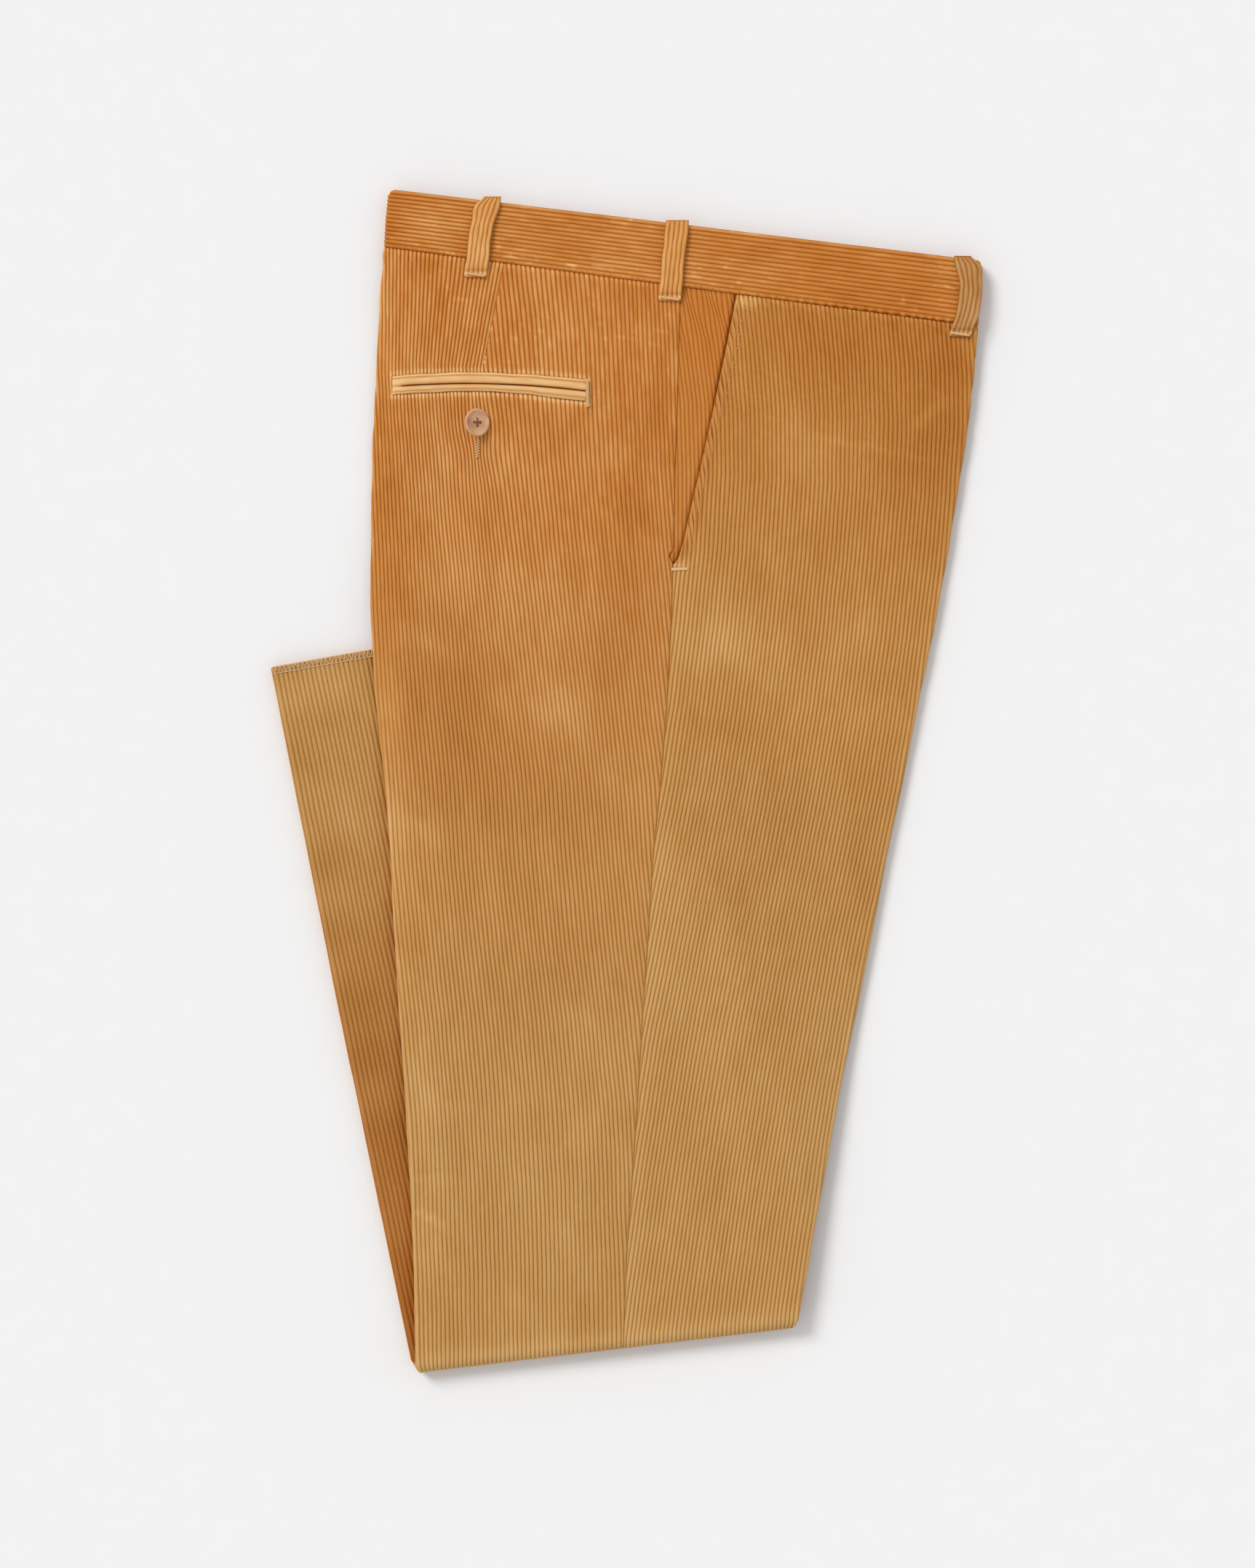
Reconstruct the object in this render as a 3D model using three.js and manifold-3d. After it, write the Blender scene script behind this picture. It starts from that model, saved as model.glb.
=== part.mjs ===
// Corduroy trousers, pressed flat along their creases with the right leg on top, and then
// folded once across both legs below the knee, so that the lower legs lie underneath.
// Millimetres, +Z up, lying on z = 0. +Y points to the waist, +X to the front creases.
// The origin is under the middle of the outline.

import * as THREE from 'three';
import Module from 'manifold-3d';
import { mergeVertices } from 'three/addons/utils/BufferGeometryUtils.js';

// Thicknesses and clearances
const cloth = 1.8;
const bandCloth = 2.6;
const jetCloth = 1.1;
const facingCloth = 1.2;
const gap = 0.3;
const slack = 0.5;

// A crease joins two layers, so a lip is a round fold with half a gap at its middle
const lipInside = gap / 2;
const lipOutside = lipInside + cloth;
const bandLip = lipInside + bandCloth;
const neutral = lipInside + cloth / 2;
const flap = 12;
const lipSteps = 5;

// Each leg lies at its own level, measured from the middle of the fold below the knee
const leftLeg = { level: gap / 2 + lipOutside, out: -1 };
const rightLeg = { level: leftLeg.level + 2 * lipOutside + gap, out: 1 };
const bandLeft = { level: gap / 2 + bandLip, out: -1 };
const waistLift = bandLeft.level + 2 * bandLip + gap - rightLeg.level;
const liftFrom = 215;

// The fold below the knee
const foldRadius = rightLeg.level + lipOutside;
const foldLean = THREE.MathUtils.degToRad(6.8);
const foldAxis = new THREE.Vector2(0, -350.8);
const foldDown = new THREE.Vector2(Math.sin(foldLean), -Math.cos(foldLean));
const foldRun = Math.PI * foldRadius;
const foldSteps = 8;
const foldEnd = foldAxis.y - foldRun / Math.cos(foldLean);

// Above the folded-up hems and beside the lower legs the stack sinks to the surface
const hemCorner = new THREE.Vector2(-10, 110);
const hemOut = new THREE.Vector2(-0.179, 0.984);
const legOut = new THREE.Vector2(0.967, 0.255);
const sinkFrom = 12;
const sinkRun = 90;
const sinkDepth = foldRadius + gap / 2;

// Sections across the leg, from the waist seam to the hem, on cloth laid out flat.
// y is the section's height at x = 0 and rise its slope; the rest are places along x.
const hemY = -833;
const sections = [
  { y: 357, rise: -0.121, back: -147.5, seam: 37, front: 225.5 },
  { y: 353, rise: -0.122, back: -150, seam: 36.8, front: 225.5 },
  { y: 338, rise: -0.128, back: -151.5, seam: 36.4, front: 225.2 },
  { y: 318, rise: -0.134, back: -152.5, seam: 35.5, front: 224 },
  { y: 285, rise: -0.122, back: -155.5, seam: 34.5, front: 221.5 },
  { y: 245, rise: -0.106, back: -157.5, seam: 33.5, front: 217.5 },
  { y: 200, rise: -0.089, back: -160, seam: 32, front: 211 },
  { y: 150, rise: -0.071, back: -161, seam: 31, front: 203.5 },
  { y: 100, rise: -0.052, back: -161, seam: 29.5, front: 195 },
  { y: 50, rise: -0.033, back: -158, seam: 27, front: 185 },
  { y: 0, rise: -0.014, back: -152, seam: 23, front: 176 },
  { y: -50, rise: 0.005, back: -148, seam: 18, front: 166 },
  { y: -100, rise: 0.024, back: -145.5, seam: 15, front: 157 },
  { y: -150, rise: 0.043, back: -142, seam: 11.5, front: 147.5 },
  { y: -200, rise: 0.062, back: -138.5, seam: 8.5, front: 137.5 },
  { y: -250, rise: 0.081, back: -135.5, seam: 5, front: 128.5 },
  { y: -300, rise: 0.1, back: -133.5, seam: 1.5, front: 119.5 },
  { y: foldAxis.y, rise: 0.119, back: -132.5, seam: -0.5, front: 110.5 },
  { y: foldEnd, rise: 0.119, back: -132.3, seam: -0.5, front: 110 },
  { y: -618, rise: 0.088, back: -124.4, seam: 1, front: 106 },
  { y: hemY, rise: 0.061, back: -115.5, seam: 2, front: 102 },
];

// The slanted pocket edge of the front panel, from the waist seam to the bottom of the opening
const pocketEdge = [
  { y: 318, x: 71 },
  { y: 282, x: 65 },
  { y: 244, x: 57 },
  { y: 208, x: 50.5 },
  { y: 178, x: 43.5 },
  { y: 168, x: 39 },
  { y: 140, x: 31 },
];
const pocketEnd = pocketEdge.at(-1).y;

// The corduroy's wales: their spacing and depth, and how far they have drifted sideways down
// the leg from where each crosses y = 0, at a few wales counted across the panel
const waleDepth = 0.8;
const pitch = { back: 2.7, front: 2.65, facing: 2.65 };
const bandWales = 14;
const loopWales = 5;
const jetWales = 2;
const anchors = {
  back: [
    { count: -56, key: 'backEdge' },
    { count: -22, key: 'backMiddle' },
    { count: 8, key: 'backSeam' },
  ],
  front: [{ count: 10, key: 'frontSeam' }, { count: 76, key: 'frontEdge' }],
  facing: [{ count: 0, key: 'facing' }, { count: 1, key: 'facing' }],
};
const driftColumns = ['y', 'backEdge', 'backMiddle', 'backSeam', 'frontSeam', 'frontEdge', 'facing'];
const drifts = [
  [318, -13.2, -37.2, -25.2, 12.4, 24.3, 37],
  [285, -13.2, -33.2, -23.2, 16.7, 26.6, 43.5],
  [245, -14.2, -29, -21.5, 20.2, 26.6, 48.5],
  [200, -11.8, -24.3, -19.5, 21.4, 23.9, 50],
  [150, -9.6, -18.6, -15.6, 18.8, 19.3, 50],
  [100, -7.4, -12, -10.8, 14, 14.5, 50],
  [50, -4.4, -5.7, -5.7, 7.9, 7.9, 50],
  [0, 0, 0, 0, 0, 0, 50],
  [-100, 8.7, 8.7, 8.7, -19.5, -19.5, 50],
  [-200, 19, 19, 19, -37.7, -37.7, 50],
  [-300, 23.7, 23.7, 23.7, -52.9, -52.9, 50],
  [-350.8, 24.7, 24.7, 24.7, -59.8, -59.8, 50],
].map((row) => Object.fromEntries(driftColumns.map((name, i) => [name, row[i]])));
const mostWales = 120;
const clearOfEdge = 0.25;
const edgeCount = 500;

// The back's waist dart, sewn from the waist seam down to the pocket. The wales on its left
// lean more and more towards it.
const dart = [{ y: 318, x: -76.1 }, { y: 251.5, x: -89.9 }];
const dartTip = dart[1].y;
const dartCount = -23;
const dartLean = { least: 0.015, most: 0.185, from: -150, over: 62 };

// Heights of the sections that the walls pass through
const waistY = 318;
const bandTop = 357;
const upperRows = [285, dartTip, liftFrom, 190, 168, pocketEnd, 110, 75, 20, -65, -150, -240];
const foldRows = Array.from({ length: foldSteps + 1 },
  (_, i) => foldAxis.y + (foldEnd - foldAxis.y) * i / foldSteps);
const lowerRows = [-618, hemY];
const legRows = [waistY - gap / 2, ...upperRows, ...foldRows, ...lowerRows];
const bandRows = [waistY + gap / 2, 338, 353, bandTop];
const backParts = 5;
const frontParts = 6;

// Small parts on the right side, by their places on the flat cloth
const loopWidth = 14;
const loopHeight = 51;
const loopTack = 5;
const loopRise = 1.3;
const loops = [
  { name: 'belt_loop_back', x: -91.5, y: 319, lean: 0.115, sweep: 0 },
  { name: 'belt_loop_side', x: 30.8, y: 304, lean: 0.093, sweep: 0 },
  { name: 'belt_loop_front', x: 214, y: 281.5, lean: 0.06, sweep: 6 },
];
const jetLeft = -147;
const jetRight = -23;
const jetSlit = [{ x: jetLeft, y: 250 }, { x: -82.6, y: 251.6 }, { x: jetRight, y: 247 }];
const jetParts = 6;
const jetGroove = 0.5;
const upperJet = 6.9;
const lowerJet = 4.8;
const button = { x: -94, y: 227, radius: 8.9, thick: 2.6, rim: 2, holeRing: 2.3, hole: 1 };
const buttonTilt = THREE.MathUtils.degToRad(32);
const buttonSides = 32;
const holeCount = 4;
const holeSides = 10;
const mergeWithin = 1e-4;

const blend = (a, b, t) => a + (b - a) * t;
const ease = (t) => THREE.MathUtils.smoothstep(t, 0, 1);

// Value of a named column of a table at height y, from the two rows around it
function column(table, key, y) {
  let i = 0;
  while (i < table.length - 2 && y < table[i + 1].y) i += 1;
  const [above, below] = [table[i], table[i + 1]];
  const t = THREE.MathUtils.clamp((above.y - y) / (above.y - below.y), 0, 1);
  return blend(above[key], below[key], t);
}

const section = (key, y) => column(sections, key, y);

// How far the stack has sunk where it no longer lies on the lower legs
function sink(x, y) {
  const from = new THREE.Vector2(x, y).sub(hemCorner);
  const pastHem = Math.max(from.dot(hemOut), 0);
  const pastLeg = Math.max(from.dot(legOut), 0);
  return sinkDepth * ease((Math.hypot(pastHem, pastLeg) - sinkFrom) / sinkRun);
}

// A point of the flat stack, at a distance out from the middle of the fold, laid in place
function foldOver(x, y, depth) {
  const past = (x - foldAxis.x) * foldDown.x + (y - foldAxis.y) * foldDown.y;
  if (past <= 0) return new THREE.Vector3(x, y, foldRadius + depth - sink(x, y));
  const turn = Math.PI * Math.min(past / foldRun, 1);
  const shift = depth * Math.sin(turn) - past - Math.max(past - foldRun, 0);
  return new THREE.Vector3(
    x + foldDown.x * shift,
    y + foldDown.y * shift,
    foldRadius + depth * Math.cos(turn),
  );
}

// A point of a leg's outer cloth. x runs on round the creases at both edges, and out is the
// distance from the middle of the crease. bend is the radius along which x is measured there.
function place(leg, x, y, out, lip = lipOutside, bend = neutral) {
  const backLip = section('back', y) + lip;
  const frontLip = section('front', y) - lip;
  const over = Math.max(backLip - x, x - frontLip, 0);
  const turn = Math.min(over / bend, Math.PI);
  const inward = Math.max(over - Math.PI * bend, 0);
  const round = out * Math.sin(turn) - inward;
  let flatX = x;
  if (x < backLip) flatX = backLip - round;
  if (x > frontLip) flatX = frontLip + round;
  const lift = leg === rightLeg ? waistLift * ease((y - liftFrom) / (waistY - liftFrom)) : 0;
  const depth = leg.level + lift + leg.out * out * Math.cos(turn);
  return foldOver(flatX, y + section('rise', y) * flatX, depth);
}

// The section height whose line passes through a place on the flat cloth
function heightAt(x, flatY) {
  let y = flatY;
  for (let i = 0; i < 6; i += 1) y = flatY - section('rise', y) * x;
  return y;
}

// Where a wale's groove or top runs, by its number counted across the panel
function waleX(side, count, y) {
  const list = anchors[side];
  let next = 1;
  while (next < list.length - 1 && list[next].count <= count) next += 1;
  const [a, b] = [list[next - 1], list[next]];
  const share = THREE.MathUtils.clamp((count - a.count) / (b.count - a.count), 0, 1);
  const at = (height) => blend(column(drifts, a.key, height), column(drifts, b.key, height), share)
    + pitch[side] * count;
  if (side === 'back' && count < dartCount && y > dartTip) {
    const { least, most, from, over } = dartLean;
    const lean = blend(least, most, ease((at(dartTip) - from) / over));
    return at(dartTip) + (y - dartTip) * lean;
  }
  const crease = { back: 'back', front: 'front', facing: 'seam' }[side];
  const followed = y < foldAxis.y ? section(crease, y) - section(crease, foldAxis.y) : 0;
  return at(y) + followed;
}

// The wales' grooves and tops between two places, in order from one to the other
function walesBetween(side, y, from, to) {
  const way = Math.sign(to - from);
  const [low, high] = [Math.min(from, to) + clearOfEdge, Math.max(from, to) - clearOfEdge];
  const dartX = column(dart, 'x', y);
  const darted = side === 'back' && y > dartTip;
  const list = [];
  for (let half = -mostWales * 2; half <= mostWales * 2; half += 1) {
    const count = half / 2;
    const x = waleX(side, count, y);
    const sewnAway = darted && (count < dartCount ? x > dartX - clearOfEdge : x < dartX + clearOfEdge);
    if (x > low && x < high && !sewnAway && count !== dartCount) {
      list.push({ x, count: count * way, height: Math.abs(half % 2) });
    }
  }
  if (side === 'back') {
    const x = darted ? dartX : waleX(side, dartCount, y);
    list.push({ x, count: dartCount * way, height: 0 });
  }
  return list.sort((a, b) => a.count - b.count).map((wale) => (
    { ...wale, u: (wale.x - from) / (to - from) }));
}

// Triangles between two lines of points, each ordered by a key. Where two keys are alike,
// the points face each other.
function zip(a, b) {
  const key = a[0].count !== undefined && b[0].count !== undefined ? 'count' : 'u';
  const index = [];
  let [i, j] = [0, 0];
  while (i < a.length - 1 || j < b.length - 1) {
    const aNext = i < a.length - 1 ? a[i + 1][key] : Infinity;
    const bNext = j < b.length - 1 ? b[j + 1][key] : Infinity;
    if (bNext <= aNext + mergeWithin) {
      index.push(a[i].at, b[j].at, b[j + 1].at);
      j += 1;
    } else {
      index.push(a[i].at, b[j].at, a[i + 1].at);
      i += 1;
    }
  }
  return index;
}

// A closed wall between an outer and an inner surface. Each is a list of lines, and a line is
// a list of points with their place u on it. v is the line's place on the surface.
function wall(name, outer, inner, colour, roughness = 0.95) {
  const points = [];
  for (const node of [...outer.flat(), ...inner.flat()]) {
    node.at = points.length;
    points.push(node.point);
  }
  const index = [];
  for (let r = 0; r < outer.length - 1; r += 1) index.push(...zip(outer[r], outer[r + 1]));
  for (let r = 0; r < inner.length - 1; r += 1) index.push(...zip(inner[r], inner[r + 1]).reverse());
  const end = (lines, i) => lines.map((list) => ({ at: list.at(i).at, u: list.at(i).v }));
  index.push(...zip(unkeyed(inner[0]), outer[0]), ...zip(outer.at(-1), unkeyed(inner.at(-1))));
  index.push(...zip(end(outer, 0), end(inner, 0)), ...zip(end(inner, -1), end(outer, -1)));
  const geometry = new THREE.BufferGeometry().setFromPoints(points);
  geometry.setIndex(index);
  return named(name, facingOut(geometry), colour, roughness);
}

// The same points, to be matched by their place on the line alone
const unkeyed = (list) => list.map(({ at, u }) => ({ at, u }));

// Lines of points over a regular grid, from the places of its rows and columns
const gridLines = (rows, columns, put) => rows.map((row, v) => (
  columns(row).map((x, u) => ({ u, v, point: put(x, row) }))));

// Turns the faces round if they point into the solid
function facingOut(geometry) {
  const p = geometry.attributes.position;
  const index = geometry.index.array;
  const corner = (i) => new THREE.Vector3().fromBufferAttribute(p, index[i]);
  let volume = 0;
  for (let i = 0; i < index.length; i += 3) {
    volume += corner(i).dot(corner(i + 1).cross(corner(i + 2)));
  }
  if (volume < 0) {
    for (let i = 0; i < index.length; i += 3) {
      [index[i], index[i + 1]] = [index[i + 1], index[i]];
    }
  }
  return geometry;
}

function named(name, geometry, colour, roughness) {
  const material = new THREE.MeshStandardMaterial({ color: colour, roughness, metalness: 0 });
  const mesh = new THREE.Mesh(geometry, material);
  mesh.name = name;
  return mesh;
}

// Places along x from an inner edge to past the crease: over the flat cloth, with the last one
// just clear of the flap's end, and then round the crease and along the flap
function across(from, lip, side, parts) {
  const clear = lip - side * (flap + gap);
  const flat = Array.from({ length: parts + 1 }, (_, i) => blend(from, clear, i / parts));
  const round = Array.from({ length: lipSteps + 1 },
    (_, i) => lip + side * neutral * Math.PI * i / lipSteps);
  round.push(lip + side * (neutral * Math.PI + flap));
  return { from, lip, flat, round };
}

const backAcross = (y, edge, lip = lipOutside) =>
  across(edge, section('back', y) + lip, -1, backParts);
const frontAcross = (y, edge, lip = lipOutside) =>
  across(edge, section('front', y) - lip, 1, frontParts);

// A line across a panel without wales, and one with wales from its inner edge to the crease
const plainLine = ({ from, lip, flat, round }, put) => [
  ...flat.map((x) => ({ u: (x - from) / (lip - from), point: put(x, 1) })),
  ...round.map((x, i) => ({ u: 1 + i, point: put(x, 1) })),
];
const waledLine = ({ from, lip, round }, side, y, put) => [
  { u: 0, count: -edgeCount, point: put(from, 0) },
  ...walesBetween(side, y, from, lip).map((wale) => ({ ...wale, point: put(wale.x, wale.height) })),
  ...round.map((x, i) => ({ u: 1 + i, count: edgeCount + i, point: put(x, 1) })),
];

// One panel of a leg's outer side, from the waist to the hem
function panel(name, leg, side, acrossAt, hasWales, colour) {
  const put = (y, out) => (x, height) => place(leg, x, y, out - waleDepth * (1 - height));
  const numbered = (list, v) => list.map((node) => ({ ...node, v }));
  const outer = legRows.map((y, v) => numbered(hasWales(y)
    ? waledLine(acrossAt(y), side, y, put(y, lipOutside))
    : plainLine(acrossAt(y), put(y, lipOutside)), v));
  const inner = legRows.map((y, v) => numbered(plainLine(acrossAt(y), put(y, lipInside)), v));
  return wall(name, outer, inner, colour);
}

// Where the front panel starts: at the slanted pocket edge, and below it at the side seam
const frontStart = (y) => (y >= pocketEnd ? column(pocketEdge, 'x', y) : section('seam', y));

// The wales are raised where the cloth shows: above the fold on the right leg, and on the left
// back panel's lower end, which lies face up
function panels() {
  const half = gap / 2;
  const back = (y) => backAcross(y, section('seam', y) - half);
  const front = (y) => frontAcross(y, frontStart(y) + half);
  const plainFront = (y) => frontAcross(y, section('seam', y) + half);
  const above = (y) => y >= foldAxis.y;
  const below = (y) => y <= foldEnd;
  return [
    panel('right_back_panel', rightLeg, 'back', back, above, '#b9783a'),
    panel('right_front_panel', rightLeg, 'front', front, above, '#bf803f'),
    panel('left_back_panel', leftLeg, 'back', back, below, '#b4753a'),
    panel('left_front_panel', leftLeg, 'front', plainFront, () => false, '#b4753a'),
  ];
}

// The pocket's facing, between the side seam and the slanted edge, a little lower than both
function pocketFacing() {
  const rows = legRows.filter((y) => y > pocketEnd + gap);
  const edges = (y) => [section('seam', y) + gap / 2, column(pocketEdge, 'x', y) - gap / 2];
  const top = lipInside + facingCloth;
  const lowest = top - waleDepth / 2;
  const outer = rows.map((y, v) => {
    const [from, to] = edges(y);
    const wales = walesBetween('facing', y, from, to);
    const nodes = [
      { u: 0, count: -edgeCount, x: from, height: 0 },
      ...wales,
      { u: 1, count: edgeCount, x: to, height: 0 },
    ];
    return nodes.map((node) => (
      { ...node, v, point: place(rightLeg, node.x, y, blend(lowest, top, node.height)) }));
  });
  const inner = gridLines(rows, edges, (x, y) => place(rightLeg, x, y, lipInside));
  return wall('pocket_facing', outer, inner, '#b9783a');
}

// The layers inside, as one solid between the outer cloths of both legs
function innerLayers() {
  const rows = [bandTop - 3, 338, waistY + 4, ...legRows];
  const columns = (y) => {
    const lip = y > liftFrom ? bandLip : lipOutside;
    const back = backAcross(y, section('seam', y), lip).flat.reverse();
    return [...back, ...frontAcross(y, section('seam', y), lip).flat.slice(1)];
  };
  const raise = (y) => waistLift * ease((y - liftFrom) / (waistY - liftFrom));
  const bandFloor = (y) => (y > upperRows[0] ? bandCloth - cloth : 0);
  const floor = (y) => leftLeg.level - lipInside + slack + bandFloor(y);
  const ceiling = (y) => rightLeg.level + lipInside - slack + raise(y);
  const layer = (depth) => gridLines(rows, columns, (x, y) => (
    foldOver(x, y + section('rise', y) * x, depth(y))));
  return wall('inner_layers', layer(ceiling), layer(floor), '#a96b33');
}

// Grooves and tops in turn across a strip of so many wales, as shares of its width
const waleShares = (wales) => Array.from({ length: wales * 2 + 1 },
  (_, i) => ({ share: i / (wales * 2), height: i % 2 }));

// One side of the waistband, turned in at both creases, with its wales lengthwise
function waistband(name, leg, waled, colour) {
  const half = ({ flat, round }) => [...flat, ...round];
  const xs = (y) => [
    ...half(backAcross(y, section('seam', y), bandLip)).reverse(),
    ...half(frontAcross(y, section('seam', y), bandLip)).slice(1),
  ];
  const at = (x, y, out) => place(leg, x, y, out, bandLip);
  const inner = bandRows.map((y) => xs(y).map((x, u) => ({ u, v: y, point: at(x, y, lipInside) })));
  const wales = waleShares(bandWales).map(({ share, height }) => (
    { y: blend(bandRows[0], bandTop, share), out: bandLip - waleDepth * (1 - height) }));
  const rows = waled ? wales : bandRows.map((y) => ({ y, out: bandLip }));
  const outer = rows.map(({ y, out }) => xs(y).map((x, u) => ({ u, v: y, point: at(x, y, out) })));
  return wall(name, outer, inner, colour);
}

// A belt loop: tacked below the seam and at the band's top, standing off the band between
function beltLoop({ name, x, y, lean, sweep }) {
  const steps = [0, loopTack, 10, 16, loopHeight / 2, 38, loopHeight - loopTack, loopHeight];
  const layer = (across) => steps.map((along) => {
    const bow = Math.sin(Math.PI * along / loopHeight);
    const base = along > loopTack ? bandLip : lipOutside;
    const out = base + gap + loopRise * bow;
    const middle = x + lean * (along - loopHeight / 2) + sweep * bow;
    return across.map(({ share, raised }) => {
      const flatX = middle + (share - 0.5) * loopWidth;
      const height = heightAt(flatX, y + along);
      const point = place(rightLeg, flatX, height, out + raised, bandLip, out);
      return { u: share, v: along, point };
    });
  });
  const top = waleShares(loopWales).map(({ share, height }) => (
    { share, raised: cloth - waleDepth * (1 - height) }));
  const under = [0, 0.25, 0.5, 0.75, 1].map((share) => ({ share, raised: 0 }));
  return wall(name, layer(top), layer(under), '#c39a63');
}

// One of the two jets of the back pocket, above and below its slit, with wales lengthwise
function jet(name, near, far) {
  const xs = Array.from({ length: jetParts + 1 }, (_, i) => blend(jetLeft, jetRight, i / jetParts));
  const slitY = (x) => {
    const [left, middle, right] = jetSlit;
    const [a, b] = x < middle.x ? [left, middle] : [middle, right];
    return blend(a.y, b.y, (x - a.x) / (b.x - a.x));
  };
  const layer = (rows) => rows.map(({ share, out }) => xs.map((x, u) => {
    const height = heightAt(x, slitY(x) + blend(near, far, share));
    return { u, v: share, point: place(rightLeg, x, height, lipOutside + out) };
  }));
  const top = waleShares(jetWales).map(({ share, height }) => (
    { share, out: gap + jetCloth - jetGroove * (1 - height) }));
  const under = [0, 0.5, 1].map((share) => ({ share, out: gap }));
  return wall(name, layer(top), layer(under), '#c39a63');
}

// A closed mesh as a solid that can be cut
function solid(wasm, geometry) {
  geometry.deleteAttribute('normal');
  geometry.deleteAttribute('uv');
  const merged = mergeVertices(geometry, mergeWithin);
  return new wasm.Manifold(new wasm.Mesh({
    numProp: 3,
    vertProperties: new Float32Array(merged.attributes.position.array),
    triVerts: new Uint32Array(merged.index.array),
  }));
}

// The back pocket's button: a dished disc with a rim and sewing holes, tipped on its thread
async function buttonMesh() {
  const wasm = await Module();
  wasm.setup();
  const { radius, thick, rim, holeRing, hole } = button;
  const edge = thick * 0.45;
  const dish = thick * 0.7;
  const profile = [
    [0, 0], [radius * 0.72, 0], [radius, edge], [radius * 0.97, thick * 0.85],
    [radius - rim / 2, thick], [radius - rim, dish], [0, dish],
  ].map(([x, y]) => new THREE.Vector2(x, y));
  let disc = solid(wasm, new THREE.LatheGeometry(profile, buttonSides));
  for (let i = 0; i < holeCount; i += 1) {
    const angle = i * 2 * Math.PI / holeCount;
    const drill = new THREE.CylinderGeometry(hole, hole, thick * 3, holeSides);
    drill.translate(holeRing * Math.cos(angle), 0, holeRing * Math.sin(angle));
    disc = disc.subtract(solid(wasm, drill));
  }
  const cut = disc.getMesh();
  const geometry = new THREE.BufferGeometry();
  geometry.setAttribute('position', new THREE.BufferAttribute(cut.vertProperties, 3));
  geometry.setIndex(new THREE.BufferAttribute(cut.triVerts, 1));
  geometry.rotateX(Math.PI / 2);
  geometry.rotateY(buttonTilt);
  const mesh = named('button', geometry, '#a8805f', 0.35);
  const seat = place(rightLeg, button.x, heightAt(button.x, button.y), lipOutside);
  const reach = radius * Math.sin(buttonTilt) - edge * Math.cos(buttonTilt);
  mesh.position.set(seat.x, seat.y, seat.z + reach + gap);
  return mesh;
}

const group = new THREE.Group();
group.add(...panels());
group.add(pocketFacing());
group.add(innerLayers());
group.add(waistband('right_waistband', rightLeg, true, '#c08142'));
group.add(waistband('left_waistband', bandLeft, false, '#b4753a'));
group.add(...loops.map(beltLoop));
group.add(jet('pocket_jet_upper', gap / 2, upperJet));
group.add(jet('pocket_jet_lower', -gap / 2, -lowerJet));
group.add(await buttonMesh());

export default group;
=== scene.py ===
import math

import bmesh
import bpy
import numpy as np
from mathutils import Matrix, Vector


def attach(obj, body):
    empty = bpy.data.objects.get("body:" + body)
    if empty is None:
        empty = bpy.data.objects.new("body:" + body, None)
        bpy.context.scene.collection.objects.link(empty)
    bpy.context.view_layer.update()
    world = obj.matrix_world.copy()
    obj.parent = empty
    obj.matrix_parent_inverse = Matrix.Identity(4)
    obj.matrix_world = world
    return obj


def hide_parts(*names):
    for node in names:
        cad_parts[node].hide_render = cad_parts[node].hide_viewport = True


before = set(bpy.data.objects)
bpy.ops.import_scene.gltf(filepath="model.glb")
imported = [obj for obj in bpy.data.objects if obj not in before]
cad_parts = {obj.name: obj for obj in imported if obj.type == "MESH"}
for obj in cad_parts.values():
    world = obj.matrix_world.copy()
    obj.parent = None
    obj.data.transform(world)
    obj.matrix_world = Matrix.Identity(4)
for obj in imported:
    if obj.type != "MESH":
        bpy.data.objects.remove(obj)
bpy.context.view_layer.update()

# Corduroy trousers, pressed flat along their creases with the right leg on top, and folded
# once across both legs below the knee. Sizes are in millimetres and turn into metres where
# a mesh is made. +Y points to the waist, +X to the front creases, and the floor is z = 0.
MM = 0.001
IMAGE = (1725, 2156)
PIXEL = 0.46
ORIGIN_PIXEL = (858.5, 1074.5)

# The cloth, as the model has it
CLOTH = 1.8
BAND_CLOTH = 2.6
JET_CLOTH = 1.1
FACING_CLOTH = 1.2
GAP = 0.3
SEAM_GAP = 0.1
LIP_INSIDE = GAP / 2
LIP_OUTSIDE = LIP_INSIDE + CLOTH
BAND_LIP = LIP_INSIDE + BAND_CLOTH
NEUTRAL = LIP_INSIDE + CLOTH / 2
FLAP = 12
LEFT_LEVEL = GAP / 2 + LIP_OUTSIDE
RIGHT_LEVEL = LEFT_LEVEL + 2 * LIP_OUTSIDE + GAP
LEFT = {"level": LEFT_LEVEL, "out": -1, "lifts": 0}
RIGHT = {"level": RIGHT_LEVEL, "out": 1, "lifts": 1}
BAND_LEFT = {"level": GAP / 2 + BAND_LIP, "out": -1, "lifts": 0}
WAIST_LIFT = BAND_LEFT["level"] + 2 * BAND_LIP + GAP - RIGHT_LEVEL
LIFT_FROM = 215
FOLD_RADIUS = RIGHT_LEVEL + LIP_OUTSIDE
FOLD_LEAN = math.radians(6.8)
FOLD_Y = -350.8
FOLD_DOWN = (math.sin(FOLD_LEAN), -math.cos(FOLD_LEAN))
FOLD_RUN = math.pi * FOLD_RADIUS
FOLD_END = FOLD_Y - FOLD_RUN / math.cos(FOLD_LEAN)
HEM_CORNER = (-10, 110)
HEM_OUT = (-0.179, 0.984)
LEG_OUT = (0.967, 0.255)
SINK_FROM = 12
SINK_RUN = 90
SINK_DEPTH = FOLD_RADIUS + GAP / 2
HEM_Y = -833
WAIST_Y = 318
BAND_TOP = 357
POCKET_END = 140

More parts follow.
